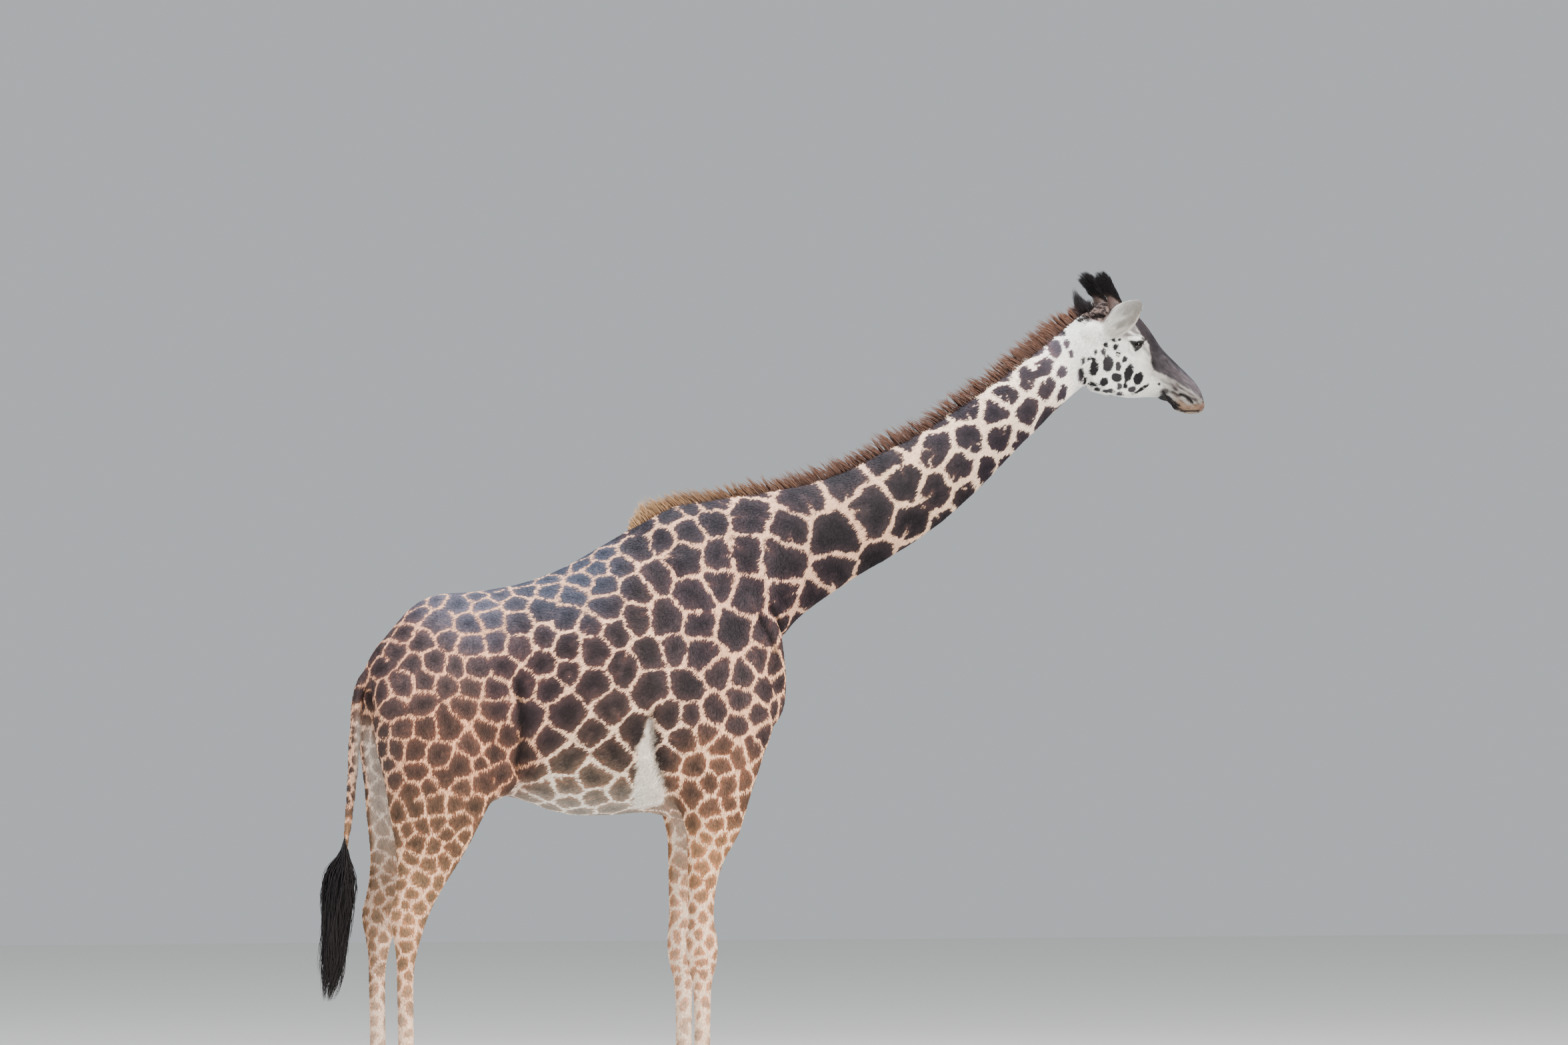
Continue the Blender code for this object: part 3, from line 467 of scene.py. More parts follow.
head_shapes = [rib_loft(NECK_RIBS[-2:] + NAPE_RIBS + HEAD_RIBS, steps=8, count=56)]
head_shapes += list(lumps(HEAD_LUMPS)) + [ear_leaf(1), ear_leaf(-1)]
head = eased(closed_skin(head_shapes, HEAD_GRAIN), 6)
spots = vertices_of(head.data)
ear_zone = np.zeros(len(spots))
for side in (1, -1):
    foot, length, along, across, out = ear_frame(side)
    ear_zone = np.maximum(ear_zone, ramp(0.18, 0.30, (spots - foot) @ along / length))
eased(head, 50, 1 - ear_zone)

# Forms of the face, each a line in the side view with a height (or depth if negative).
FACE_FORMS = [
    # line, height, width, least |y|, most |y|
    ([(2.480, 3.435), (2.520, 3.452), (2.560, 3.452), (2.596, 3.430)], 0.0085, 0.0085, 0.05, 1),
    ([(2.500, 3.442), (2.540, 3.462), (2.590, 3.448)], 0.0040, 0.016, 0.05, 1),
    ([(2.500, 3.392), (2.520, 3.366), (2.556, 3.358), (2.590, 3.380)], -0.0040, 0.008, 0.05, 1),
    ([(2.492, 3.372), (2.530, 3.346), (2.575, 3.348)], 0.0030, 0.010, 0.05, 1),
    ([(2.585, 3.350), (2.640, 3.318), (2.700, 3.290), (2.800, 3.268)], 0.0050, 0.012, 0.02, 1),
    ([(2.620, 3.290), (2.680, 3.262), (2.740, 3.240)], -0.0045, 0.016, 0.02, 1),
    ([(2.600, 3.400), (2.640, 3.372), (2.700, 3.335)], -0.0035, 0.014, 0.04, 1),
    ([(2.430, 3.350), (2.470, 3.300), (2.510, 3.240)], 0.0030, 0.020, 0.04, 1),
    ([(2.425, 3.400), (2.410, 3.340), (2.418, 3.270)], -0.0080, 0.014, 0.03, 1),
    ([(2.765, 3.210), (2.790, 3.200), (2.812, 3.186), (2.829, 3.170)], -0.0110, 0.0042, 0.01, 1),
    ([(2.762, 3.222), (2.795, 3.212), (2.822, 3.196), (2.842, 3.174)], 0.0045, 0.0070, 0.01, 1),
    ([(2.770, 3.196), (2.800, 3.184), (2.822, 3.168)], 0.0035, 0.0070, 0.01, 1),
    ([(2.690, 3.222), (2.730, 3.189), (2.773, 3.151), (2.806, 3.137), (2.866, 3.140)],
     -0.0090, 0.0036, 0.0, 1),
    ([(2.684, 3.232), (2.730, 3.200), (2.780, 3.164), (2.840, 3.150)], 0.0038, 0.008, 0.0, 1),
    ([(2.700, 3.200), (2.740, 3.166), (2.780, 3.138)], 0.0040, 0.007, 0.0, 1),
    ([(2.470, 3.575), (2.540, 3.535), (2.600, 3.480)], 0.0040, 0.020, 0.0, 0.030),
]
spots = vertices_of(head.data)
outward = normals_of(head.data)
for line, high, wide, least, most in FACE_FORMS:
    far, share = near_line(spots, line)
    push = high * np.exp(-((far / wide) ** 2)) * ramp(0, 0.12, share) * ramp(1, 0.9, share)
    push *= ramp(least - 0.015, least + 0.005, np.abs(spots[:, 1]))
    push *= ramp(most + 0.015, most - 0.005, np.abs(spots[:, 1]))
    push *= 1 - ear_zone
    spots += outward * push[:, None]
spots += outward * (0.0006 * speckle(spots, 0.02, 4) * (1 - ear_zone))[:, None]
put_vertices(head.data, spots)
eased(head, 1)
thin = head.modifiers.new("thin", "DECIMATE")
thin.ratio = HEAD_SHARE
settled(head)


def half_kept(data, centre, normal, gap):
    """Cuts a mesh open at a plane and leaves the side that the normal points to."""
    work = bmesh.new()
    work.from_mesh(data)
    normal = unit(normal)
    everything = list(work.verts) + list(work.edges) + list(work.faces)
    place = np.array(centre) + normal * gap
    bmesh.ops.bisect_plane(
        work, geom=everything, plane_co=place, plane_no=normal, clear_inner=True
    )
    made = bpy.data.meshes.new("half")
    work.to_mesh(made)
    work.free()
    return made


# The two skins meet in a ring of faces, so that hair and markings run on without a seam.
normal = np.array(NECK_CUT_NORMAL)
whole = bmesh.new()
whole.from_mesh(half_kept(head.data, NECK_CUT, normal, SEAM_GAP))
whole.from_mesh(half_kept(body.data, NECK_CUT, -normal, SEAM_GAP))
open_edges = [edge for edge in whole.edges if edge.is_boundary]
bmesh.ops.bridge_loops(whole, edges=open_edges)
bmesh.ops.triangulate(whole, faces=[f for f in whole.faces if len(f.verts) > 4])
bmesh.ops.recalc_face_normals(whole, faces=whole.faces)
skin_data = bpy.data.meshes.new("skin")
whole.to_mesh(skin_data)
whole.free()
skin = bpy.data.objects.new("skin", skin_data)
bpy.context.scene.collection.objects.link(skin)
for helper in (body, head):
    bpy.data.objects.remove(helper)
spots = vertices_of(skin.data)
off_cut = np.abs((spots - NECK_CUT) @ unit(normal))
join = ramp(0.05, 0.015, off_cut) * ramp(0.30, 0.25, np.linalg.norm(spots - NECK_CUT, axis=1))
eased(skin, 8, join)

# The neck turns left as a whole, and everything on it turns with it. All shapes are made
# on the straight neck, and this is the last thing done to each of them.
BEND_START = 0.95
BEND_LENGTH = 1.30
BEND_ANGLE = math.radians(12)
FORE_TOE = 0.842
low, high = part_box("barrel")
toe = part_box("hoof_front_right_outer")[1].x
settle = np.array([toe - FORE_TOE, (low.y + high.y) / 2, 0])  # from these shapes to the solids


def turn_angle(x):
    return BEND_ANGLE * np.clip((x - BEND_START) / BEND_LENGTH, 0, 1)


def placed(points):
    """Where points of the straight body lie once the neck has turned."""
    radius = BEND_LENGTH / BEND_ANGLE
    along = points[:, 0] - BEND_START
    angle = turn_angle(points[:, 0])
    past = np.maximum(along - BEND_LENGTH, 0)
    x = BEND_START + radius * np.sin(angle) + np.minimum(along, 0)
    x += past * np.cos(angle) - points[:, 1] * np.sin(angle)
    y = radius * (1 - np.cos(angle)) + past * np.sin(angle) + points[:, 1] * np.cos(angle)
    return np.stack([x, y, points[:, 2]], 1) + settle


def piece_of(name, data, nodes=()):
    """A finished piece: it rides on the one body and stands for these solids."""
    made = bpy.data.objects.new(name, data)
    data.name = name
    bpy.context.scene.collection.objects.link(made)
    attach(made, "root")
    if nodes:
        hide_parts(*nodes)
    return made


# ---------------------------------------------------------------- markings
# Liver-brown patches on a pale ground, as in Masai giraffes: broad on the neck and trunk,
# smaller on rump and legs, fading at the feet, and small ovals on the cheek.
PATCH_SEED = 11
# One row for each region, which blends into the next: x, z, how far it counts, distance
# between the patches' centres, half the pale line, lie of the hair in degrees (0 back,
# 90 down), colour of the ground and colour of the patches.
REGIONS = [
    (2.24, 3.34, 0.09, 0.064, 0.0086, 30, "#f4ede4", "#3b343a"),
    (2.08, 3.22, 0.11, 0.092, 0.0100, 34, "#e8d3c0", "#2a2327"),
    (1.85, 3.06, 0.14, 0.112, 0.0106, 34, "#dabfa7", "#231c21"),
    (1.60, 2.88, 0.16, 0.134, 0.0096, 34, "#d4b295", "#261e20"),
    (1.30, 2.70, 0.16, 0.156, 0.0083, 32, "#cea588", "#271f21"),
    (1.02, 2.58, 0.16, 0.142, 0.0073, 45, "#d1a689", "#281e21"),
    (0.75, 2.36, 0.18, 0.120, 0.0062, 62, "#d1a181", "#2a1f22"),
    (0.90, 2.02, 0.15, 0.088, 0.0060, 75, "#dfab86", "#362928"),
    (0.60, 2.68, 0.12, 0.100, 0.0053, 40, "#cfa283", "#282226"),
    (0.22, 2.12, 0.22, 0.112, 0.0050, 32, "#e0b291", "#312424"),
    # The two rows on the top of the back give bluish slate patches: a painted sheen of the sky on
    # the glossy hair.
    (0.12, 2.42, 0.13, 0.084, 0.0040, 22, "#cb9c7e", "#33353f"),
    (-0.33, 2.36, 0.14, 0.080, 0.0040, 25, "#d3a07c", "#403d46"),
    (-0.50, 2.12, 0.18, 0.082, 0.0036, 55, "#dea581", "#3d2f2e"),
    (-0.12, 2.02, 0.12, 0.104, 0.0044, 50, "#dfad88", "#38292a"),
    (-0.38, 1.80, 0.18, 0.082, 0.0038, 75, "#dfa37c", "#463129"),
    (-0.42, 1.46, 0.14, 0.064, 0.0038, 85, "#e2b48e", "#543d2e"),
    (-0.55, 1.02, 0.22, 0.052, 0.0052, 88, "#dfb596", "#6e543d"),
    (-0.54, 0.35, 0.28, 0.052, 0.0090, 88, "#d9b79c", "#75604e"),
    (0.72, 1.60, 0.12, 0.078, 0.0048, 82, "#e8bb95", "#543b2e"),
    (0.68, 1.30, 0.13, 0.060, 0.0056, 88, "#e6c3a0", "#79573d"),
    (0.66, 0.92, 0.22, 0.052, 0.0070, 88, "#e3c2a5", "#82624a"),
    (0.66, 0.35, 0.28, 0.052, 0.0105, 88, "#dbbb9f", "#796250"),
    (0.28, 1.84, 0.14, 0.118, 0.0060, 28, "#e0c1a4", "#3a2c27"),
    (0.20, 1.60, 0.11, 0.108, 0.0066, 10, "#e4d5c1", "#614f42"),
    (-0.76, 1.75, 0.10, 0.036, 0.0048, 88, "#dcab8a", "#392f2c"),
]


def linear(colour):
    """An sRGB hex colour as linear light."""
    parts = [int(colour[k : k + 2], 16) / 255 for k in (1, 3, 5)]
    return np.array([p / 12.92 if p <= 0.04045 else ((p + 0.055) / 1.055) ** 2.4 for p in parts])


def blended(colour, other, share):
    """One colour, or one for each point, mixed with another by each point's share."""
    return colour + (other - colour) * np.reshape(share, (-1, 1))


def regional(points):
    """(spacing, half line, lie, ground, patch colour) at each point, from REGIONS."""
    total = 0
    weight_sum = 1e-12
    for x, z, reach, apart, line, lie, ground, patch in REGIONS:
        off = (points[:, 0] - x) ** 2 + (points[:, 2] - z) ** 2
        weight = np.exp(-off / reach**2) + 1e-9 / (off + 0.01)
        values = [apart, line, lie, *linear(ground), *linear(patch)]
        total = total + weight[:, None] * values
        weight_sum = weight_sum + weight
    made = total / weight_sum[:, None]
    return made[:, 0], made[:, 1], made[:, 2], made[:, 3:6], made[:, 6:9]


def on_triangles(data, count, weights=None, seed=0):
    """(points, normals) spread evenly over a mesh; weights thin them out where low."""
    chance = np.random.default_rng(seed)
    data.calc_loop_triangles()
    corners = np.empty(len(data.loop_triangles) * 3, np.int32)
    data.loop_triangles.foreach_get("vertices", corners)
    corners = corners.reshape(-1, 3)
    points = vertices_of(data)
    area = np.linalg.norm(
        np.cross(
            points[corners[:, 1]] - points[corners[:, 0]],
            points[corners[:, 2]] - points[corners[:, 0]],
        ),
        axis=1,
    )
    if weights is not None:
        area = area * weights[corners].mean(axis=1)
    pile = np.cumsum(area)
    aims = (np.arange(count) + chance.random(count)) * pile[-1] / count
    chosen = corners[np.minimum(np.searchsorted(pile, aims), len(corners) - 1)]
    a, b = chance.random((2, count))
    flip = a + b > 1
    a[flip] = 1 - a[flip]
    b[flip] = 1 - b[flip]
    share = np.stack([1 - a - b, a, b], 1)[:, :, None]
    normals = (normals_of(data)[chosen] * share).sum(axis=1)
    normals /= np.linalg.norm(normals, axis=1)[:, None]
    return (points[chosen] * share).sum(axis=1), normals


def patch_centres(data):
    """Places apart by the region's spacing, over the whole skin."""
    places, facing = on_triangles(data, 60000, seed=PATCH_SEED)
    order = np.random.default_rng(PATCH_SEED).permutation(len(places))
    places = places[order]
    facing = facing[order]
    apart = regional(places)[0] * 0.93
    free = np.ones(len(places), bool)
    chosen = []
    for k in range(len(places)):
        if free[k]:
            chosen.append(k)
            free &= ((places - places[k]) ** 2).sum(axis=1) > apart[k] ** 2
    return places[chosen], facing[chosen]


centres, centre_normals = patch_centres(skin.data)
chance = np.random.default_rng(PATCH_SEED + 1)
centre_size = chance.uniform(0.84, 1.16, len(centres))
centre_tone = chance.uniform(0.86, 1.14, len(centres))
NEIGHBOURS = 5  # patches looked at for each point
NOTCHES = 3  # wedges of ground that run into a patch from its edge, as in a leaf
notch_turn = chance.uniform(-math.pi, math.pi, (len(centres), NOTCHES))
notch_width = chance.uniform(0.0, 0.17, (len(centres), NOTCHES))
often = 0.22 + 0.35 * ramp(0.7, 1.1, centres[:, 0])
notch_width *= chance.random((len(centres), NOTCHES)) < often[:, None]
notch_depth = chance.uniform(0.30, 0.70, (len(centres), NOTCHES))
centre_east = np.cross(centre_normals, [0.1, 0, 1])
centre_east /= np.linalg.norm(centre_east, axis=1)[:, None]
centre_north = np.cross(centre_normals, centre_east)
centre_tree = KDTree(len(centres))
for k, place in enumerate(centres):
    centre_tree.insert(place, k)
centre_tree.balance()


def to_patch_edge(points, apart):
    """(distance inwards from the line between patches, the patch) for each point."""
    wander = np.stack([speckle(points, 0.030, 20 + k) for k in range(3)], 1)
    wander += 0.6 * np.stack([speckle(points, 0.013, 30 + k) for k in range(3)], 1)
    moved = points + wander * np.reshape(apart, (-1, 1)) * 0.075
    index = np.empty((len(points), NEIGHBOURS), np.int32)
    far = np.empty((len(points), NEIGHBOURS))
    for row, place in enumerate(moved):
        for column, (_, found, distance) in enumerate(centre_tree.find_n(place, NEIGHBOURS)):
            index[row, column] = found
            far[row, column] = distance
    far /= centre_size[index]
    order = np.argsort(far, axis=1)
    index = np.take_along_axis(index, order, 1)
    far = np.take_along_axis(far, order, 1)
    first = index[:, 0]
    gaps = (far[:, 1:] - far[:, :1]) / 2
    # Some neighbours run together along part of their border.
    pair = (np.minimum(index[:, 1:], first[:, None]) * 7919 + first[:, None] + index[:, 1:])
    joined = (pair * 2654435761 % 1000) < 170
    bridge = ramp(0.1, 0.5, speckle(points, 0.035, 40))[:, None]
    gaps = gaps + joined * bridge * 0.02
    soft = 0.0036 * np.clip(apart / 0.1, 0.4, 1.2)[:, None]
    edge = -soft[:, 0] * np.log(np.exp(-gaps / soft).sum(axis=1))
    offset = moved - centres[first]
    east = (offset * centre_east[first]).sum(axis=1)
    north = (offset * centre_north[first]).sum(axis=1)
    turn = np.arctan2(north, east)
    share = far[:, 0] / (far[:, 0] + np.maximum(gaps[:, 0], 0) + 1e-6)
    for k in range(NOTCHES):
        aside = np.abs((turn - notch_turn[first, k] + math.pi) % (2 * math.pi) - math.pi)
        start = notch_depth[first, k]
        wide = notch_width[first, k] * np.clip((share - start) / (1 - start), 0, 1)
        cut = (aside - wide) * far[:, 0] + 0.35 * (start - share).clip(0) * apart
        has_notch = notch_width[first, k] > 0.03
        edge = np.where(has_notch, np.minimum(edge, cut + 0.009), edge)
    return edge, first


# Drawn parts of the head, in the side view.
NOSE_BAND = [(2.470, 3.620), (2.546, 3.491), (2.571, 3.442), (2.600, 3.425), (2.613, 3.385)]
NOSE_BAND += [(2.616, 3.335), (2.632, 3.303), (2.697, 3.281), (2.752, 3.256), (2.808, 3.226)]
NOSE_BAND += [(2.870, 3.186)]
MOUTH = [(2.690, 3.222), (2.730, 3.189), (2.773, 3.151), (2.806, 3.137), (2.866, 3.140)]


def ahead_of(points, line):
    """Distance from a line in the side view: above or in front of it is positive."""
    line = np.array(line)
    best = np.full(len(points), 9.0)
    signed = np.zeros(len(points))
    where = points[:, [0, 2]]
    for a, b in zip(line, line[1:]):
        step = b - a
        off = where - a
        t = np.clip((off @ step) / (step @ step), 0, 1)
        far = np.linalg.norm(off - t[:, None] * step, axis=1)
        closer = far < best - 1e-7
        best[closer] = far[closer]
        signed[closer] = (far * np.sign(step[0] * off[:, 1] - step[1] * off[:, 0]))[closer]
    return signed


def within(points, x, z, wide, high, soft=0.3):
    """1 inside an oval in the side view and 0 outside it."""
    far = np.hypot((points[:, 0] - x) / wide, (points[:, 2] - z) / high)
    return ramp(1 + soft, 1 - soft, far)


def on_ear(points, side):
    """(1 on the ear and 0 on the head, share of the way up the ear)."""
    foot, length, along, across, out = ear_frame(side)
    rise = (points - foot) @ along / length
    clear = side * points[:, 1] - foot[1] * side - 0.25 * (points[:, 0] - foot[0])
    return ramp(0.05, 0.20, rise) * ramp(0.0, 0.012, clear) * ramp(2.66, 2.62, points[:, 0]), rise


# Ovals of the cheek and jaw: x, z, half width, half height, lean in degrees.
CHEEK_OVALS = [
    (2.425, 3.331, 0.0200, 0.0330, -4),
    (2.365, 3.312, 0.0195, 0.0320, 0),
    (2.311, 3.287, 0.0165, 0.0280, -8),
    (2.518, 3.295, 0.0190, 0.0350, 12),
    (2.566, 3.272, 0.0225, 0.0260, 20),
    (2.465, 3.275, 0.0220, 0.0190, 10),
    (2.468, 3.323, 0.0130, 0.0205, -5),
    (2.495, 3.349, 0.0095, 0.0120, 15),
    (2.465, 3.375, 0.0105, 0.0140, 0),
    (2.453, 3.402, 0.0125, 0.0125, -10),
    (2.443, 3.431, 0.0100, 0.0115, 0),
    (2.411, 3.408, 0.0110, 0.0095, 20),
    (2.402, 3.380, 0.0115, 0.0140, -10),
    (2.369, 3.381, 0.0070, 0.0130, -15),
    (2.339, 3.351, 0.0065, 0.0085, 0),
    (2.416, 3.258, 0.0160, 0.0170, 10),
    (2.379, 3.246, 0.0160, 0.0085, 20),
    (2.337, 3.262, 0.0100, 0.0140, -40),
    (2.402, 3.227, 0.0120, 0.0085, 15),
    (2.444, 3.219, 0.0160, 0.0095, 5),
    (2.488, 3.207, 0.0190, 0.0085, 10),
    (2.481, 3.240, 0.0110, 0.0140, 15),
    (2.507, 3.244, 0.0090, 0.0125, -20),
    (2.541, 3.227, 0.0205, 0.0130, 0),
    (2.592, 3.229, 0.0300, 0.0075, -35),
    (2.669, 3.248, 0.0080, 0.0060, 0),
    (2.315, 3.344, 0.0090, 0.0150, 0),
    (2.236, 3.464, 0.0200, 0.0190, 35),
    (2.248, 3.412, 0.0130, 0.0180, 0),
    (2.222, 3.300, 0.0200, 0.0230, 0),
    (2.232, 3.497, 0.0130, 0.0110, 30),
    (2.262, 3.512, 0.0110, 0.0080, 30),
    (2.262, 3.372, 0.0100, 0.0150, 0),
    (2.200, 3.395, 0.0260, 0.0400, 10),
    (2.195, 3.455, 0.0160, 0.0220, 30),
    (2.470, 3.430, 0.0075, 0.0060, 0),
    (2.427, 3.352, 0.0060, 0.0090, 0),
    (2.360, 3.350, 0.0080, 0.0110, -20),
]
OVAL_JITTER = 0.006  # the left cheek's ovals differ from the right one's by this much


def to_oval_edge(points):
    """(distance inwards from the nearest oval's edge, how pale that oval is)."""
    chance = np.random.default_rng(71)
    wander = 0.0022 * speckle(points, 0.010, 72)
    best = np.full(len(points), -9.0)
    tone = np.ones(len(points))
    for x, z, half_wide, half_high, lean in CHEEK_OVALS:
        shift_x, shift_z, swell = chance.normal(0, 1, 3)
        far_side = points[:, 1] > 0
        a = points[:, 0] - x - far_side * shift_x * OVAL_JITTER
        b = points[:, 2] - z - far_side * shift_z * OVAL_JITTER
        c = math.cos(math.radians(lean))
        s = math.sin(math.radians(lean))
        size = 1 + 0.12 * swell * far_side
        far = np.hypot((a * c - b * s) / half_wide, (a * s + b * c) / half_high) / size
        inwards = (1 - far) * min(half_wide, half_high)
        tone = np.where(inwards > best, 0.7 + 3.2 * chance.random() ** 2, tone)
        best = np.maximum(best, inwards)
    return best + wander, tone


def with_pale_places(points, normals, ground, patch):
    """Ground and patches, paler on belly, inner legs, behind the elbow and at the seat."""
    x, y, z = points.T
    white = linear("#dfd9ce")
    facing_out = normals[:, 1] * np.sign(y)
    inner = ramp(-0.25, -0.8, facing_out) * ramp(2.0, 1.75, z)
    inner *= ramp(0.03, 0.06, np.abs(y)) * (0.3 + 0.7 * ramp(1.1, 1.6, z))
    elbow, elbow_share = near_line(points, [(0.415, 1.88), (0.405, 1.74), (0.440, 1.585)])
    elbow = ramp(0.022, 0.004, elbow - 0.052 * elbow_share + 0.016 * speckle(points, 0.02, 59))
    elbow *= ramp(-0.35, 0.1, facing_out) * ramp(1.3, 1.5, z)
    under = ramp(-0.55, -0.95, normals[:, 2]) * ramp(1.85, 1.60, z) * ramp(1.3, 1.5, z)
    seat = ramp(-0.60, -0.68, x) * ramp(0.075, 0.035, np.abs(y)) * ramp(1.25, 1.45, z)
    seat *= ramp(1.98, 1.82, z) * ramp(-0.75, -0.72, x)
    for share, fade in ((inner, 0.45), (elbow, 0.80), (0.8 * under, 0.25), (seat, 0.65)):
        ground = blended(ground, white, 0.75 * share)
        patch = blended(patch, ground, fade * share)
    return ground, blended(patch, ground, ramp(0.95, 0.35, z) * 0.45)


def painted_crease_shade(points):
    """Painted shade: what is left of the light in the deep folds."""
    left = 1
    for crease, _, wide, least in FOLDS[:4]:
        far, along = near_line(points, crease)
        dark = np.exp(-((far / (0.7 * wide)) ** 2)) * ramp(0, 0.2, along) * ramp(1, 0.8, along)
        left = left * (1 - 0.72 * dark * ramp(least - 0.03, least + 0.03, np.abs(points[:, 1])))
    return left[:, None]


def nose_and_muzzle(points, ground, mottle):
    """The dark band down the nose, the streaked muzzle, lips and chin, and painted shade in the
    mouth's corners, the slit between the lips and the nostrils.
    """
    x, y, z = points.T
    nose = ahead_of(points, NOSE_BAND) + 0.004 * speckle(points, 0.012, 52)
    share = ramp(-0.004, 0.006, nose) * ramp(2.40, 2.47, x)
    down_muzzle = np.stack([0.3 * (0.88 * x - 0.47 * z), y, 0.47 * x + 0.88 * z], 1)
    streaks = speckle(down_muzzle, 0.0075, 58)
    blotches = speckle(down_muzzle, 0.030, 61)
    dark_nose = blended(linear("#2b272a"), linear("#39363a"), ramp(2.60, 2.84, x))
    dark_nose = dark_nose * (mottle * np.exp(-0.45 * streaks - 0.55 * blotches))[:, None]
    dark_nose = dark_nose * (1 + ramp(0.0, 0.8, -blotches)[:, None] * [0.14, 0.05, 0.0])
    thin = ramp(-0.055, 0.0, nose + 0.012 * streaks) * ramp(2.53, 2.60, x)
    muzzle_grey = blended(linear("#5c5552"), linear("#2b2628"), ramp(-0.3, 0.8, streaks))
    side_of_muzzle = ramp(2.63, 2.75, x) * (1 - share)
    forehead = within(points, 2.520, 3.468, 0.062, 0.040, 0.4) * (1 - share)
    above_mouth = ahead_of(points, MOUTH + [(2.92, 3.150)])
    lips = ramp(0.036, 0.012, above_mouth) * ramp(2.735, 2.785, x) * ramp(-0.004, 0.0, above_mouth)
    jaw = ramp(0.002, -0.004, above_mouth) * ramp(2.69, 2.71, x)
    freckled = ramp(-0.1, 0.3, speckle(points, 0.007, 53))
    chin = blended(linear("#95816f"), linear("#4b4240"), freckled)
    lip_far = near_line(points, [(2.702, 3.200), (2.730, 3.182), (2.766, 3.154)])[0]
    dark_lip = ramp(0.015, 0.010, lip_far + 0.002 * speckle(points, 0.008, 60))
    # Painted shade: the mouth's corner crease, the slit between the lips and the nostrils' openings
    # are painted near black.
    corner = within(points, 2.702, 3.2195, 0.021, 0.012, 0.4) * ramp(0.02, 0.03, np.abs(y))
    painted_gape_shade = ramp(0.0055, 0.002, near_line(points, MOUTH)[0]) * ramp(2.68, 2.70, x)
    nostril = near_line(points, [(2.770, 3.207), (2.795, 3.199), (2.826, 3.174)])[0]
    nostril = ramp(0.0085, 0.003, nostril) * ramp(0.01, 0.02, np.abs(y))
    for colour, cover in (
        (linear("#6d6260"), 0.50 * thin),
        (dark_nose, share),
        (muzzle_grey, side_of_muzzle * (0.80 + 0.20 * ramp(-0.4, 0.5, streaks))),
        (linear("#504949"), 0.9 * forehead * ramp(-1.0, 0.5, streaks)),
        (linear("#7a604d") * mottle[:, None], 0.92 * lips),
        (linear("#5b3f3b"), 0.7 * lips * ramp(2.852, 2.872, x)),
        (chin, 0.95 * jaw * ramp(2.70, 2.74, x)),
        (linear("#121114"), 0.95 * dark_lip),
        # The next three colours are painted shade in the mouth's corner, the lip slit and the
        # nostrils.
        (linear("#1d191c"), 0.9 * corner),
        (linear("#1c1718"), 0.93 * painted_gape_shade),
        (linear("#100d0d"), nostril),
    ):
        ground = blended(ground, colour, cover)
    return ground


def eyes_and_crown(points, ground, on_head):
    """Dark skin round the eyes, pale brows, and brown freckled hair round the horns."""
    x, y, z = points.T
    behind = (x - 2.505) * 0.8115 + (z - 3.426) * 0.5843
    before = (x - 2.541) * -0.7433 + (z - 3.376) * 0.6690
    eye = np.minimum(3.4280 - z, np.minimum(behind, before))
    tear = near_line(points, [(2.570, 3.405), (2.592, 3.390), (2.610, 3.370)])[0]
    tear = ramp(0.012, 0.003, tear)
    eye_dark = np.maximum(ramp(-0.002, 0.004, eye + 0.002 * speckle(points, 0.01, 54)), 0.5 * tear)
    on_side = ramp(0.05, 0.07, np.abs(y)) * on_head
    brow = within(points, 2.535, 3.4375, 0.035, 0.007, 0.4) * on_side
    brow_line = near_line(points, [(2.571, 3.436), (2.582, 3.430), (2.592, 3.432)])[0]
    crown = within(points, 2.425, 3.552, 0.105, 0.060, 0.2) * on_head
    hair_dots = ramp(0.10, 0.25, speckle(points, 0.010, 55))
    for colour, cover in (
        ("#070506", 0.98 * eye_dark * on_side),
        ("#dcd8d2", 0.8 * brow),
        ("#131011", 0.9 * ramp(0.008, 0.003, brow_line) * on_side),
        ("#5c473e", 0.95 * crown),
        ("#1f1819", 0.95 * crown * hair_dots),
    ):
        ground = blended(ground, linear(colour), cover)
    return ground


def ear_colours(points, normals, ground, side):
    """(ground, share of the ear): mottled grey towards the tip, a white rim, pale inside."""
    foot, _, along, across, out = ear_frame(side)
    ear, rise = on_ear(points, side)
    inside = ramp(-0.1, 0.4, normals @ out)
    streak = speckle(points + np.outer(rise, along) * -0.15, 0.012, 56)
    mottled = ramp(0.15, 0.75, rise + 0.35 * streak) * 0.85
    back_tone = linear("#aaa69e") * (1 + 0.25 * streak[:, None])
    back_tone = blended(back_tone, linear("#57524d"), mottled)
    width = np.abs((points - foot) @ across)
    rim = ramp(0.78, 0.92, width / (EAR_HALF_WIDTH * np.interp(rise, *np.array(EAR_WIDTHS).T)))
    back_tone = blended(back_tone, linear("#b9b4ac"), 0.6 * rim)
    inner_tone = blended(linear("#a3968c"), linear("#6a5850"), 0.8 * ramp(0.6, 0.1, rise))
    return blended(ground, blended(back_tone, inner_tone, inside), ear), ear


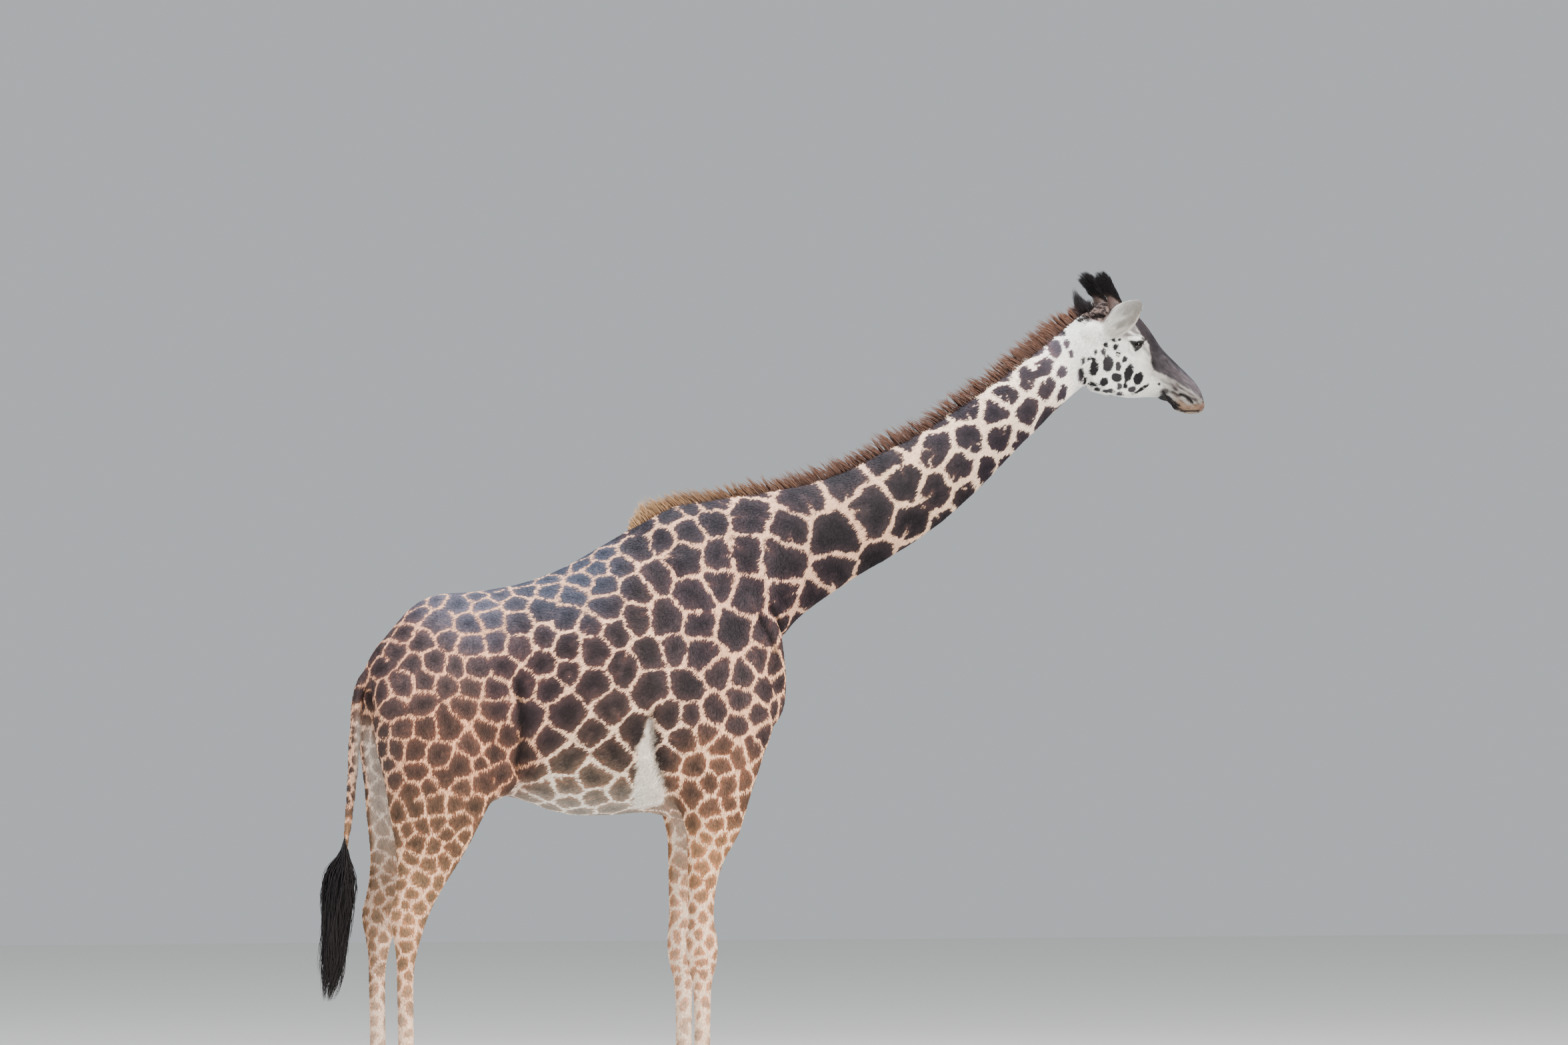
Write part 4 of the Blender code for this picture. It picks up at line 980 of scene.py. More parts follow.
def markings(points, normals):
    """(ground colour, patch colour, distance into a patch) at points of the skin."""
    apart, line, _, ground, patch = regional(points)
    edge, first = to_patch_edge(points, apart)
    edge = edge - line
    x, y, z = points.T
    # A patch is darkest in its middle, and browner at its rim on the body.
    patch = patch * centre_tone[first][:, None]
    deep = ramp(0.004, 0.044, edge + 0.006 * speckle(points, 0.03, 48))[:, None]
    patch = patch * (1.40 - 0.80 * deep) * (1 + deep * [-0.12, 0.0, 0.12])
    patch = blended(patch, patch * [1.65, 1.22, 1.05], ramp(0.010, 0.001, edge) * ramp(2.3, 2.1, x))
    mottle = 1 + 0.08 * speckle(points, 0.05, 50) + 0.06 * speckle(points, 0.012, 51)
    ground = ground * mottle[:, None]
    patch = patch * mottle[:, None]
    ground, patch = with_pale_places(points, normals, ground, patch)
    # Painted shade: ground and patches are darkened along the deepest folds.
    shade = painted_crease_shade(points)
    ground = ground * shade
    patch = patch * shade
    # The head is white, with ovals on cheek and jaw only.
    throat = x - 2.215 + 0.35 * (z - 3.34) + 0.01 * speckle(points, 0.03, 57)
    on_head = ramp(0.058, 0.082, throat)
    ovals, oval_tone = to_oval_edge(points)
    patch = blended(patch, linear("#1c1a1c") * oval_tone[:, None], on_head)
    ground = blended(ground, linear("#d3d1cc") * mottle[:, None], ramp(0.00, 0.09, throat))
    edge = edge - 0.05 * ramp(-0.025, 0.020, throat)
    edge = np.where(throat > -0.03, np.maximum(ovals + 0.0012, edge), edge)
    edge = np.where((np.abs(y) < 0.018) & (x > 2.3), np.minimum(edge, -0.002), edge)
    ground = nose_and_muzzle(points, ground, mottle)
    ground = eyes_and_crown(points, ground, on_head)
    for side in (1, -1):
        ground, ear = ear_colours(points, normals, ground, side)
        edge = edge - 0.06 * ear
    return np.clip(ground, 0, 1), np.clip(patch, 0, 1), edge


def keep_colour(data, name, colours):
    """Keeps one colour for each point of a mesh, for its material to read."""
    layer = data.attributes.new(name, "FLOAT_COLOR", "POINT")
    layer.data.foreach_set("color", np.ravel(np.c_[colours, np.ones(len(colours))]))


def keep_value(data, name, values):
    """Keeps one number for each point of a mesh."""
    layer = data.attributes.new(name, "FLOAT", "POINT")
    layer.data.foreach_set("value", np.ravel(values))


def paint(data, ground, patch, edge):
    """Keeps the markings on a mesh, for the coat's material to read."""
    keep_colour(data, "ground", ground)
    keep_colour(data, "patch", patch)
    keep_value(data, "edge", edge)


def node(tree, kind, links=None, **settings):
    """Adds a node; links go to its inputs by name, settings to its own fields."""
    made = tree.nodes.new(kind)
    for key, value in settings.items():
        setattr(made, key, value)
    for key, value in (links or {}).items():
        socket = made.inputs[key]
        if isinstance(value, bpy.types.NodeSocket):
            tree.links.new(value, socket)
        else:
            socket.default_value = value
    return made


def new_material(name):
    made = bpy.data.materials.new(name)
    made.use_nodes = True
    return made, made.node_tree, made.node_tree.nodes["Principled BSDF"]


# Short hair that lies flat is nearly matt, with a dull gleam where it turns to the light.
COARSE_HAIR = 2.2  # millimetres: real hairs are 0.1 across, too fine to show
PATCH_RAGGED = 0.0025  # metres that the hairs carry a patch's edge in or out
short_hair, tree, shader = new_material("short_flat_coat_hair")
place = node(tree, "ShaderNodeTexCoord").outputs["Object"]
ground = node(tree, "ShaderNodeAttribute", attribute_name="ground").outputs["Color"]
patch = node(tree, "ShaderNodeAttribute", attribute_name="patch").outputs["Color"]
edge = node(tree, "ShaderNodeAttribute", attribute_name="edge").outputs["Fac"]
ragged = node(
    tree, "ShaderNodeTexNoise", {"Vector": place, "Scale": 90.0, "Detail": 4.0}
).outputs["Fac"]
shift = node(
    tree, "ShaderNodeMapRange",
    {
        "Value": ragged, "From Min": 0.3, "From Max": 0.7,
        "To Min": -PATCH_RAGGED, "To Max": PATCH_RAGGED,
    },
).outputs["Result"]
moved = node(tree, "ShaderNodeMath", {0: edge, 1: shift}, operation="ADD").outputs[0]
inside = node(
    tree, "ShaderNodeMapRange", {"Value": moved, "From Min": -0.002, "From Max": 0.0025},
    interpolation_type="SMOOTHSTEP",
).outputs["Result"]
tone = node(tree, "ShaderNodeMix", {"Factor": inside, 6: ground, 7: patch}, data_type="RGBA")
strand = node(
    tree, "ShaderNodeTexNoise",
    {"Vector": place, "Scale": 1000 / COARSE_HAIR / 2, "Detail": 3.0, "Roughness": 0.7},
).outputs["Fac"]
gain = node(
    tree, "ShaderNodeMapRange",
    {"Value": strand, "From Min": 0.25, "From Max": 0.75, "To Min": 0.80, "To Max": 1.16},
).outputs["Result"]
bright = node(
    tree, "ShaderNodeVectorMath", {0: tone.outputs[2], "Scale": gain}, operation="SCALE"
).outputs[0]
bump = node(
    tree, "ShaderNodeBump", {"Height": strand, "Strength": 0.35, "Distance": 0.0012}
).outputs["Normal"]
rough = node(
    tree, "ShaderNodeMapRange",
    {"Value": strand, "From Min": 0.3, "From Max": 0.7, "To Min": 0.50, "To Max": 0.66},
).outputs["Result"]
tree.links.new(bright, shader.inputs["Base Color"])
tree.links.new(bump, shader.inputs["Normal"])
tree.links.new(rough, shader.inputs["Roughness"])
shader.inputs["Specular IOR Level"].default_value = 0.12


def coat_depth(points):
    """How thick the lying hair is: least on the face, the ears and the feet."""
    depth = 0.0045 - 0.0027 * ramp(2.25, 2.45, points[:, 0])
    return depth - 0.0015 * ramp(0.9, 0.4, points[:, 2])


# The finished skin lies inside the solids by the coat's depth.
spots = vertices_of(skin.data)
spots -= normals_of(skin.data) * coat_depth(spots)[:, None]
put_vertices(skin.data, spots)


# The lids: a ring of skin over each eyeball, thick at its margin and creased above. The
# upper lid hangs nearly straight and the lower one is a deep curve, so the eye looks sad.
LID_COLUMNS = 72
EYE_LOOKS = (0.27, 0.955, 0.03)  # the way the left eye faces
# Rows from the ball outwards: share of the opening's half size, height over the ball.
LID_ROWS = [
    (0.93, -0.0022), (0.95, 0.0006), (1.00, 0.0019), (1.08, 0.0027), (1.18, 0.0026),
    (1.30, 0.0016), (1.40, 0.0011), (1.50, 0.0016), (1.62, 0.0019), (1.75, 0.0014),
]
LID_ON_BALL = 1.05  # up to this share of the opening the lid rests on the ball
LID_EASE = 0.003  # how softly the lid leaves the ball for the skin
LID_ROOT = 0.0022  # the outermost row lies this deep in the skin


def eye_frame(side):
    """(centre, forwards, upwards, outwards) of one eye."""
    outwards = unit(np.array(EYE_LOOKS) * [1, side, 1])
    forwards = unit(np.cross([0, 0, 1], outwards) * side * -1)
    if forwards[0] < 0:
        forwards = -forwards
    upwards = np.cross(outwards, forwards)
    upwards *= np.sign(upwards[2])
    return EYE_CENTRE * [1, side, 1], forwards, upwards, outwards


def opening(turn):
    """Half size of the opening towards each angle: flat above, deep and pointed below."""
    forward = 0.0222 * np.cos(turn)
    rise = np.where(np.sin(turn) > 0, 0.0100 * np.abs(np.sin(turn)) ** 0.60, 0)
    drop = np.where(np.sin(turn) < 0, 0.0185 * np.abs(np.sin(turn)) ** 1.55, 0)
    return forward - 0.002 * np.sin(turn) ** 2, rise - drop


def lid_ring(side, tree):
    """(points, faces) of the open ring of both lids of one eye, set on the skin."""
    centre, forwards, upwards, outwards = eye_frame(side)
    turn = np.arange(LID_COLUMNS) * 2 * math.pi / LID_COLUMNS
    forward, rise = opening(turn)
    rings = []
    for row, (share, over) in enumerate(LID_ROWS):
        wide = forward * share
        high = rise * share + (share - 1) * 0.008 * np.sign(rise)
        ring = []
        for a, b in zip(wide, high):
            flat = centre + forwards * a + upwards * b
            hit, facing, _, _ = tree.ray_cast(flat + outwards * 0.12, -outwards)
            skin_out = (np.array(hit) - centre) @ outwards if hit else 0
            room = (EYE_RADIUS + over) ** 2 - a * a - b * b
            ball_out = math.sqrt(max(room, 0))
            higher = math.exp(ball_out / LID_EASE) + math.exp(skin_out / LID_EASE)
            lift = ball_out if share < LID_ON_BALL else LID_EASE * math.log(higher)
            if row == len(LID_ROWS) - 1:
                lift = min(lift, skin_out) - LID_ROOT
            ring.append(flat + outwards * lift)
        rings.append(np.array(ring))
    points, faces = tube(rings)
    return points, faces[1:-1]


def search_tree(data):
    """Finds the nearest place of a mesh, or where a ray meets it."""
    faces = [tuple(face.vertices) for face in data.polygons]
    return BVHTree.FromPolygons([tuple(place) for place in vertices_of(data)], faces)


# The skin sinks behind the lids, so that the opening shows the ball alone.
lid_tree = search_tree(skin.data)
spots = vertices_of(skin.data)
for side in (1, -1):
    centre, forwards, upwards, outwards = eye_frame(side)
    off = spots - centre
    a = off @ forwards
    b = off @ upwards
    out = off @ outwards
    far = np.hypot(a, b)
    over = np.arctan2(b, a)
    reach_a, reach_b = opening(over)
    reach = np.hypot(reach_a, reach_b) * 1.30 + 0.002
    hidden = (far < reach) & (out > 0)
    ball_out = np.sqrt(np.maximum((EYE_RADIUS - 0.004) ** 2 - far**2, 0))
    sink = np.where(hidden, np.minimum(out, ball_out), out)
    spots += (sink - out)[:, None] * outwards
put_vertices(skin.data, spots)
joined = bmesh.new()
joined.from_mesh(skin.data)
for side in (1, -1):
    lid = bmesh.new()
    lid.from_mesh(mesh_of(*lid_ring(side, lid_tree)))
    outwards = eye_frame(side)[3]
    lid.normal_update()
    if sum(f.normal.dot(Vector(outwards)) for f in lid.faces) < 0:
        bmesh.ops.reverse_faces(lid, faces=lid.faces)
    data = bpy.data.meshes.new("lid")
    lid.to_mesh(data)
    joined.from_mesh(data)
    lid.free()
joined.to_mesh(skin.data)
joined.free()
spots = vertices_of(skin.data)
for face in skin.data.polygons:
    face.use_smooth = True

# The same mesh is kept straight, for the coat to grow on, and turned, to be seen.
FLESH = ["barrel", "chest", "hindquarters", "neck_lower", "neck_upper", "head"]
FLESH += ["lower_jaw", "tail_dock", "ear_left", "ear_right"]
for leg in ("fore_leg_upper", "fore_leg_lower", "hind_leg_upper", "hind_leg_lower"):
    FLESH += [leg + "_left", leg + "_right"]
skin_straight = skin.data.copy()
bpy.data.objects.remove(skin)
skin_shape = skin_straight.copy()
put_vertices(skin_shape, placed(spots))
paint(skin_shape, *markings(spots, normals_of(skin_straight)))
skin_shape.materials.append(short_hair)
skin = piece_of("skin", skin_shape, FLESH)

# ---------------------------------------------------------------- coat
# The short coat lies flat: tufts of hair overlap like thatch, along the way the hair
# grows, which is down the neck and legs, back along the trunk and up from the muzzle.
# Each tuft is a closed sliver with a ridge, its root under the skin.
surface = search_tree(skin_straight)


def fewer(count):
    return count


def lie_of_hair(points, normals, seed):
    """The way the hair lies at each point, along the skin."""
    lie = np.radians(regional(points)[2])
    flow = np.stack([-np.cos(lie), 0 * lie, -np.sin(lie)], 1)
    x, y, z = points.T
    nose = ramp(2.55, 2.68, x)[:, None]
    flow = flow * (1 - nose) + nose * [-0.80, 0, 0.45]
    crown = (within(points, 2.46, 3.52, 0.10, 0.09, 0.4))[:, None]
    flow = flow * (1 - crown) + crown * [-0.85, 0, 0.35]
    for side in (1, -1):
        ear = on_ear(points, side)[0][:, None]
        flow = flow * (1 - ear) + ear * ear_frame(side)[2]
    aside = np.cross(normals, flow)
    swing = 0.30 * speckle(points, 0.09, seed) + 0.22 * speckle(points, 0.02, seed + 1)
    swing += np.random.default_rng(seed).normal(0, 0.10, len(points))
    flow = flow + aside * swing[:, None]
    flow -= normals * (flow * normals).sum(axis=1)[:, None]
    return flow / np.maximum(np.linalg.norm(flow, axis=1), 1e-6)[:, None]


def chart_round(points, x_range, axis_line):
    """An unwrap of a long body: along it, and round it from below."""
    share = (points[:, 0] - x_range[0]) / (x_range[1] - x_range[0])
    middle = np.interp(points[:, 0], *np.array(axis_line).T)
    turn = np.arctan2(points[:, 1], points[:, 2] - middle) / (2 * math.pi) + 0.5
    return np.stack([0.02 + 0.96 * np.clip(share, 0, 1), 0.02 + 0.96 * turn], 1)


def chart_legs(points):
    """An unwrap of the legs and tail: each is a strip, unrolled and set beside the next."""
    x, y, z = points.T
    tail = x < -0.71
    fore = x > 0.2
    strip = np.where(tail, 4, 2 * fore + (y > 0))
    mid_x = np.where(fore, 0.665, np.interp(z, [0.1, 1.0, 1.6], [-0.52, -0.56, -0.42]))
    mid_x = np.where(tail, -0.735, mid_x)
    mid_y = np.where(tail, 0.0, 0.172 * np.sign(y))
    turn = np.arctan2(y - mid_y, x - mid_x) / (2 * math.pi) + 0.5
    return np.stack([(strip + 0.03 + 0.94 * turn) / 5, 0.02 + 0.5 * np.clip(z, 0, 1.9)], 1)


TUFT_FACES = [(0, 3, 2), (1, 2, 3), (0, 2, 1), (0, 1, 3)]  # roots, ridge and tip
ROOT_DEPTH = 0.0012  # the roots stand this deep in the skin
BAKE_PATCH = 0.0015  # half of what each tuft takes of the bake's map


def coat_piece(name, count, sizes, unwrap_ends, axis, seed):
    """One joined mesh of tufts over a region; sizes gives length and width at points."""
    weights = tuft_cover(name, vertices_of(skin_straight))
    roots, normals = on_triangles(skin_straight, count, weights, seed)
    chance = np.random.default_rng(seed + 5)
    length, width = sizes(roots)
    length = length * chance.uniform(0.75, 1.25, count)
    width = width * chance.uniform(0.8, 1.2, count)
    depth = coat_depth(roots) * chance.uniform(0.55, 1.0, count)
    flow = lie_of_hair(roots, normals, seed)
    across = np.cross(normals, flow)
    tips = roots + flow * length[:, None]
    tip_normals = normals.copy()
    for k in range(count):
        found, facing, _, _ = surface.find_nearest(tips[k])
        tips[k] = found
        tip_normals[k] = facing
    tips += (tip_normals * 0.5 + normals * 0.5) * depth[:, None]
    ridge = roots * 0.62 + tips * 0.38 + normals * depth[:, None] * 0.75
    sunk = roots - normals * ROOT_DEPTH
    left = sunk - across * width[:, None] / 2
    right = sunk + across * width[:, None] / 2
    points = np.stack([left, right, ridge, tips], 1)
    shade = np.stack(
        [normals - 0.45 * across, normals + 0.45 * across, normals, normals + 0.25 * flow], 1
    )
    ground, patch, edge = markings(roots, normals)
    gain = (1 + 0.13 * chance.standard_normal(count)).clip(0.7, 1.3)[:, None]
    edge = edge + chance.normal(0, 0.0016, count)
    data = bpy.data.meshes.new(name)
    data.vertices.add(4 * count)
    faces = (np.arange(count)[:, None, None] * 4 + np.array(TUFT_FACES)).reshape(-1, 3)
    data.loops.add(faces.size)
    data.loops.foreach_set("vertex_index", faces.ravel())
    data.polygons.add(len(faces))
    data.polygons.foreach_set("loop_start", np.arange(len(faces)) * 3)
    data.polygons.foreach_set("use_smooth", np.ones(len(faces), bool))
    flat = points.reshape(-1, 3)
    put_vertices(data, placed(flat))
    angle = turn_angle(np.repeat(roots[:, 0], 4))
    shade = shade.reshape(-1, 3)
    turned = np.stack(
        [
            shade[:, 0] * np.cos(angle) - shade[:, 1] * np.sin(angle),
            shade[:, 0] * np.sin(angle) + shade[:, 1] * np.cos(angle),
            shade[:, 2],
        ],
        1,
    )
    turned /= np.linalg.norm(turned, axis=1)[:, None]
    data.normals_split_custom_set_from_vertices(turned)
    each = np.repeat(np.arange(count), 4)
    paint(data, (ground * gain)[each], (patch * gain)[each], edge[each])
    corner = np.array([(-1, -1), (1, -1), (0, 0), (0, 1)]) * BAKE_PATCH
    unwrapped = chart_round(roots, unwrap_ends, axis) if axis else chart_legs(roots)
    spread = unwrapped[:, None, :] + corner
    layer = data.uv_layers.new(name="OFBake")
    layer.data.foreach_set("uv", spread.reshape(-1, 2)[faces.ravel()].ravel())
    data.materials.append(short_hair)
    return piece_of(name, data)


def before_cut(points):
    """How far a point lies on the head's side of the neck's cut."""
    return (points - NECK_CUT) @ unit(NECK_CUT_NORMAL)


def is_leg(points):
    """True below the tops of the legs, and on the hanging part of the tail."""
    x, y, z = points.T
    return (z < np.where(x > 0.2, 1.47, 1.50)) | (x < -0.712)


def head_sizes(points):
    """(length, width) of the head's tufts, smallest on the face."""
    small = ramp(2.30, 2.50, points[:, 0])
    return 0.013 - 0.0065 * small, 0.0040 - 0.0016 * small


def body_sizes(points):
    """(length, width) of the tufts on neck and trunk, the same all over."""
    return np.full(len(points), 0.015), np.full(len(points), 0.0050)


def leg_sizes(points):
    """(length, width) of the tufts on legs and tail, finest at the feet."""
    fine = ramp(1.4, 0.3, points[:, 2])
    return 0.014 - 0.004 * fine, 0.0046 - 0.0014 * fine


NECK_AXIS = [(0.9, 2.35), (1.3, 2.70), (1.6, 2.88), (1.9, 3.08), (2.3, 3.36)]
HEAD_AXIS = [(2.0, 3.15), (2.35, 3.39), (2.55, 3.36), (2.75, 3.24), (2.9, 3.16)]
TRUNK_AXIS = [(-0.75, 2.0), (0.3, 2.05), (0.9, 2.3), (1.2, 2.6)]
SHOULDER_END = 1.05
BARREL_END = 0.42
RUMP_END = -0.13
COATS = [
    # name, tufts, their sizes, where the unwrap starts and ends and what it runs round
    ("coat_head", 48000, head_sizes, (2.15, 2.92), HEAD_AXIS),
    ("coat_neck", 40000, body_sizes, (1.0, 2.40), NECK_AXIS),
    ("coat_shoulders", 48000, body_sizes, (0.42, 1.06), TRUNK_AXIS),
    ("coat_barrel", 46000, body_sizes, (-0.13, 0.42), TRUNK_AXIS),
    ("coat_rump", 48000, body_sizes, (-0.72, -0.13), TRUNK_AXIS),
    ("coat_legs", 48000, leg_sizes, None, None),
]


def tuft_cover(name, points):
    """How closely a coat's tufts stand at each point: 0 outside its own region."""
    x, y, z = points.T
    on_head = before_cut(points) > 0
    if name == "coat_head":
        return on_head * (1 + 1.2 * ramp(2.4, 2.6, x))
    if name == "coat_neck":
        return ~on_head & (x > SHOULDER_END)
    leg = is_leg(points)
    if name == "coat_shoulders":
        return (x <= SHOULDER_END) & (x > BARREL_END) & ~leg
    if name == "coat_barrel":
        return (x <= BARREL_END) & (x > RUMP_END) & ~leg
    if name == "coat_rump":
        return (x <= RUMP_END) & ~leg
    return leg & (z > 0.07)


for seed, (name, count, sizes, unwrap_ends, axis) in enumerate(COATS):
    coat_piece(name, fewer(count), sizes, unwrap_ends, axis, 100 + 10 * seed)

# ---------------------------------------------------------------- eyes
# Large dark wet balls that bulge a little in front. The iris is nearly as dark as the
# pupil, so the two read as one, and the wet surface gives a small sharp highlight.
eye_wet, tree, shader = new_material("wet_dark_eye")
place = node(tree, "ShaderNodeTexCoord").outputs["Object"]
fleck = node(tree, "ShaderNodeTexNoise", {"Vector": place, "Scale": 420.0, "Detail": 3.0})
iris = node(
    tree, "ShaderNodeMix",
    {"Factor": fleck.outputs["Fac"], 6: (*linear("#060404"), 1), 7: (*linear("#120b08"), 1)},
    data_type="RGBA",
)
tree.links.new(iris.outputs[2], shader.inputs["Base Color"])
shader.inputs["Roughness"].default_value = 0.04
shader.inputs["Specular IOR Level"].default_value = 0.30
for side, word in ((1, "left"), (-1, "right")):
    centre, forwards, upwards, outwards = eye_frame(side)
    points, faces = ball((0, 0, 0), (EYE_RADIUS,) * 3, 48, 32)
    turned_ball = (
        np.outer(points[:, 2], outwards) + np.outer(points[:, 0], forwards)
        + np.outer(points[:, 1], upwards)
    )
    bulge = 1 + 0.05 * ramp(0.78, 1.0, points[:, 2] / EYE_RADIUS)
    data = faced_out(mesh_of(placed(centre + turned_ball * bulge[:, None]), faces, "eye"))
    data.polygons.foreach_set("use_smooth", np.ones(len(data.polygons), bool))
    data.materials.append(eye_wet)
    piece_of("eyeball_" + word, data, ["eye_" + word])

# ---------------------------------------------------------------- long hair
# Locks of stiff hair: mane, tail, horn caps, lashes and the hair in the ears. A lock is a
# closed three-sided spike that bends from one direction to another.
long_hair, tree, shader = new_material("stiff_long_hair")
place = node(tree, "ShaderNodeTexCoord").outputs["Object"]
tone = node(tree, "ShaderNodeAttribute", attribute_name="tone").outputs["Color"]
strand = node(
    tree, "ShaderNodeTexNoise", {"Vector": place, "Scale": 260.0, "Detail": 3.0}
).outputs["Fac"]
gain = node(
    tree, "ShaderNodeMapRange",
    {"Value": strand, "From Min": 0.25, "From Max": 0.75, "To Min": 0.72, "To Max": 1.25},
).outputs["Result"]
bright = node(
    tree, "ShaderNodeVectorMath", {0: tone, "Scale": gain}, operation="SCALE"
).outputs[0]
bump = node(
    tree, "ShaderNodeBump", {"Height": strand, "Strength": 0.3, "Distance": 0.001}
).outputs["Normal"]
tree.links.new(bright, shader.inputs["Base Color"])
tree.links.new(bump, shader.inputs["Normal"])
shader.inputs["Roughness"].default_value = 0.45
shader.inputs["Specular IOR Level"].default_value = 0.2


def unit_rows(vectors):
    """Each row as a vector one long."""
    return vectors / np.maximum(np.linalg.norm(vectors, axis=1), 1e-9)[:, None]


def lock_mesh(name, paths, widths, tones):
    """Locks along paths (locks, steps, 3), the last step its tip; tones at root and tip."""
    count, steps, _ = paths.shape
    run = unit_rows(paths[:, -1] - paths[:, 0])
    first = unit_rows(np.cross(run, [0.31, 0.9, 0.29]))
    second = np.cross(run, first)
    points = []
    for step in range(steps - 1):
        taper = (1 - step / (steps - 1)) ** 0.55
        for turn in (0, 2 * math.pi / 3, 4 * math.pi / 3):
            arm = first * math.cos(turn) + 0.6 * second * math.sin(turn)
            points.append(paths[:, step] + arm * (widths * taper / 2)[:, None])
    points.append(paths[:, -1])
    points = np.stack(points, 1)
    size = points.shape[1]
    faces = [(0, 2, 1)]
    for step in range(steps - 2):
        for k in range(3):
            a = 3 * step + k
            b = 3 * step + (k + 1) % 3
            faces += [(a, b, b + 3), (a, b + 3, a + 3)]
    last = 3 * (steps - 2)
    faces += [(last + k, last + (k + 1) % 3, size - 1) for k in range(3)]
    every = (np.arange(count)[:, None, None] * size + np.array(faces)).reshape(-1, 3)
    data = bpy.data.meshes.new(name)
    data.vertices.add(count * size)
    data.loops.add(every.size)
    data.loops.foreach_set("vertex_index", every.ravel())
    data.polygons.add(len(every))
    data.polygons.foreach_set("loop_start", np.arange(len(every)) * 3)
    data.polygons.foreach_set("use_smooth", np.ones(len(every), bool))
    put_vertices(data, placed(points.reshape(-1, 3)))
    share = np.append(np.repeat(np.arange(steps - 1), 3), steps - 1) / (steps - 1)
    colours = tones[0][:, None] * (1 - share[:, None]) + tones[1][:, None] * share[:, None]
    keep_colour(data, "tone", colours.reshape(-1, 3))
    data.materials.append(long_hair)
    return data


def bent_paths(roots, first, last, length, steps=5):
    """Paths that leave along first and end along last."""
    share = np.linspace(0, 1, steps)[None, :, None]
    first = first[:, None, :]
    last = last[:, None, :]
    run = first * (share - share**2 / 2) + last * share**2 / 2
    return roots[:, None, :] + run * np.reshape(length, (-1, 1, 1)) * 1.02


def along_rows(rows, share):
    """Rows of a table at shares from 0 to 1 of its length."""
    fine = smooth_rows(rows, 8)
    place = np.clip(share, 0, 1) * (len(fine) - 1)
    low = np.minimum(place.astype(int), len(fine) - 2)
    return fine[low] + (fine[low + 1] - fine[low]) * (place - low)[:, None]


def root_on_skin(points):
    """The nearest places of the skin and the way they face."""
    made = [surface.find_nearest(p)[:2] for p in points]
    return np.array([m[0] for m in made]), np.array([m[1] for m in made])


def hair_tones(chance, count, spread, least, most):
    """How much darker or paler each lock is than the next, from least to most."""
    return (1 + spread * chance.standard_normal(count)).clip(least, most)[:, None]


# ---------------------------------------------------------------- mane
# A stiff upright brush of red-brown hair from the poll to the withers. The hairs stick
# together in clumps whose tips lean back, and they are blond where the mane ends.
MANE_RIBS = [
    (0.394, 2.668, 0.399, 2.620, 0.010, 0, 0),
    (0.424, 2.731, 0.459, 2.640, 0.016, 0, 0),
    (0.469, 2.772, 0.519, 2.670, 0.020, 0, 0),
    (0.559, 2.800, 0.599, 2.700, 0.024, 0, 0),
    (0.763, 2.830, 0.799, 2.730, 0.026, 0, 0),
    (0.954, 2.861, 0.990, 2.750, 0.026, 0, 0),
    (1.134, 2.909, 1.181, 2.791, 0.026, 0, 0),
    (1.336, 2.988, 1.392, 2.881, 0.026, 0, 0),
    (1.548, 3.086, 1.604, 2.982, 0.026, 0, 0),
    (1.770, 3.225, 1.837, 3.124, 0.026, 0, 0),
    (1.953, 3.350, 2.020, 3.246, 0.025, 0, 0),
    (2.090, 3.450, 2.163, 3.347, 0.024, 0, 0),
    (2.204, 3.524, 2.265, 3.429, 0.022, 0, 0),
    (2.306, 3.575, 2.337, 3.490, 0.020, 0, 0),
    (2.362, 3.586, 2.367, 3.510, 0.014, 0, 0),
]
MANE_LOCKS = 5200
MANE_CLUMPS = 420
chance = np.random.default_rng(61)
count = fewer(MANE_LOCKS)
share = (np.arange(count) + chance.random(count)) / count
clump_at = np.sort(chance.random(MANE_CLUMPS))
clump = np.abs(share[:, None] - clump_at).argmin(axis=1)
clump_high = chance.uniform(0.80, 1.22, MANE_CLUMPS)
clump_high *= 1 + 0.06 * np.sin(clump_at * 61) + 0.05 * np.sin(clump_at * 23 + 1)
clump_lean = chance.normal(0, 0.22, MANE_CLUMPS)
clump_aside = chance.normal(0, 0.12, MANE_CLUMPS)
row = along_rows(MANE_RIBS, share)
aside = chance.uniform(-1, 1, count)
low = np.stack([row[:, 2], aside * row[:, 4] * 0.72, row[:, 3] + 0.02], 1)
roots, facing = root_on_skin(low)
roots -= facing * 0.004
row = along_rows(MANE_RIBS, clump_at[clump] * 0.65 + share * 0.35 - 0.006)
top = np.stack([row[:, 0], aside * row[:, 4] * 0.45, row[:, 1]], 1)
top[:, 1] += clump_aside[clump] * 0.03
reach = top - roots
length = np.linalg.norm(reach, axis=1)
back = unit([-1, 0, -0.35])
upward = unit_rows(reach)
lean = 0.30 + clump_lean[clump] + chance.normal(0, 0.08, count)
first = unit_rows(upward - back * 0.12 + chance.normal(0, 0.05, (count, 3)))
last = unit_rows(upward + back * (lean * 1.5)[:, None] + chance.normal(0, 0.05, (count, 3)))
size = clump_high[clump] * chance.uniform(0.62, 1.06, count)
size *= 1 - 0.28 * np.abs(aside) ** 3
paths = bent_paths(roots, first, last, length * size * 1.07)
blond = ramp(0.42, 0.05, share + 0.05 * chance.standard_normal(count))
root_tone = blended(linear("#35231e"), linear("#6a4c35"), blond)
tip_tone = blended(linear("#74503f"), linear("#b8936a"), blond)
dark_end = ramp(0.905, 0.935, share + 0.01 * chance.standard_normal(count))
root_tone = blended(root_tone, linear("#1d1618"), dark_end)
tip_tone = blended(tip_tone, linear("#35292b"), dark_end)
tone = hair_tones(chance, count, 0.20, 0.55, 1.5)
widths = chance.uniform(0.0022, 0.0042, count)
data = lock_mesh("mane_hair", paths, widths, (root_tone * tone, tip_tone * tone))
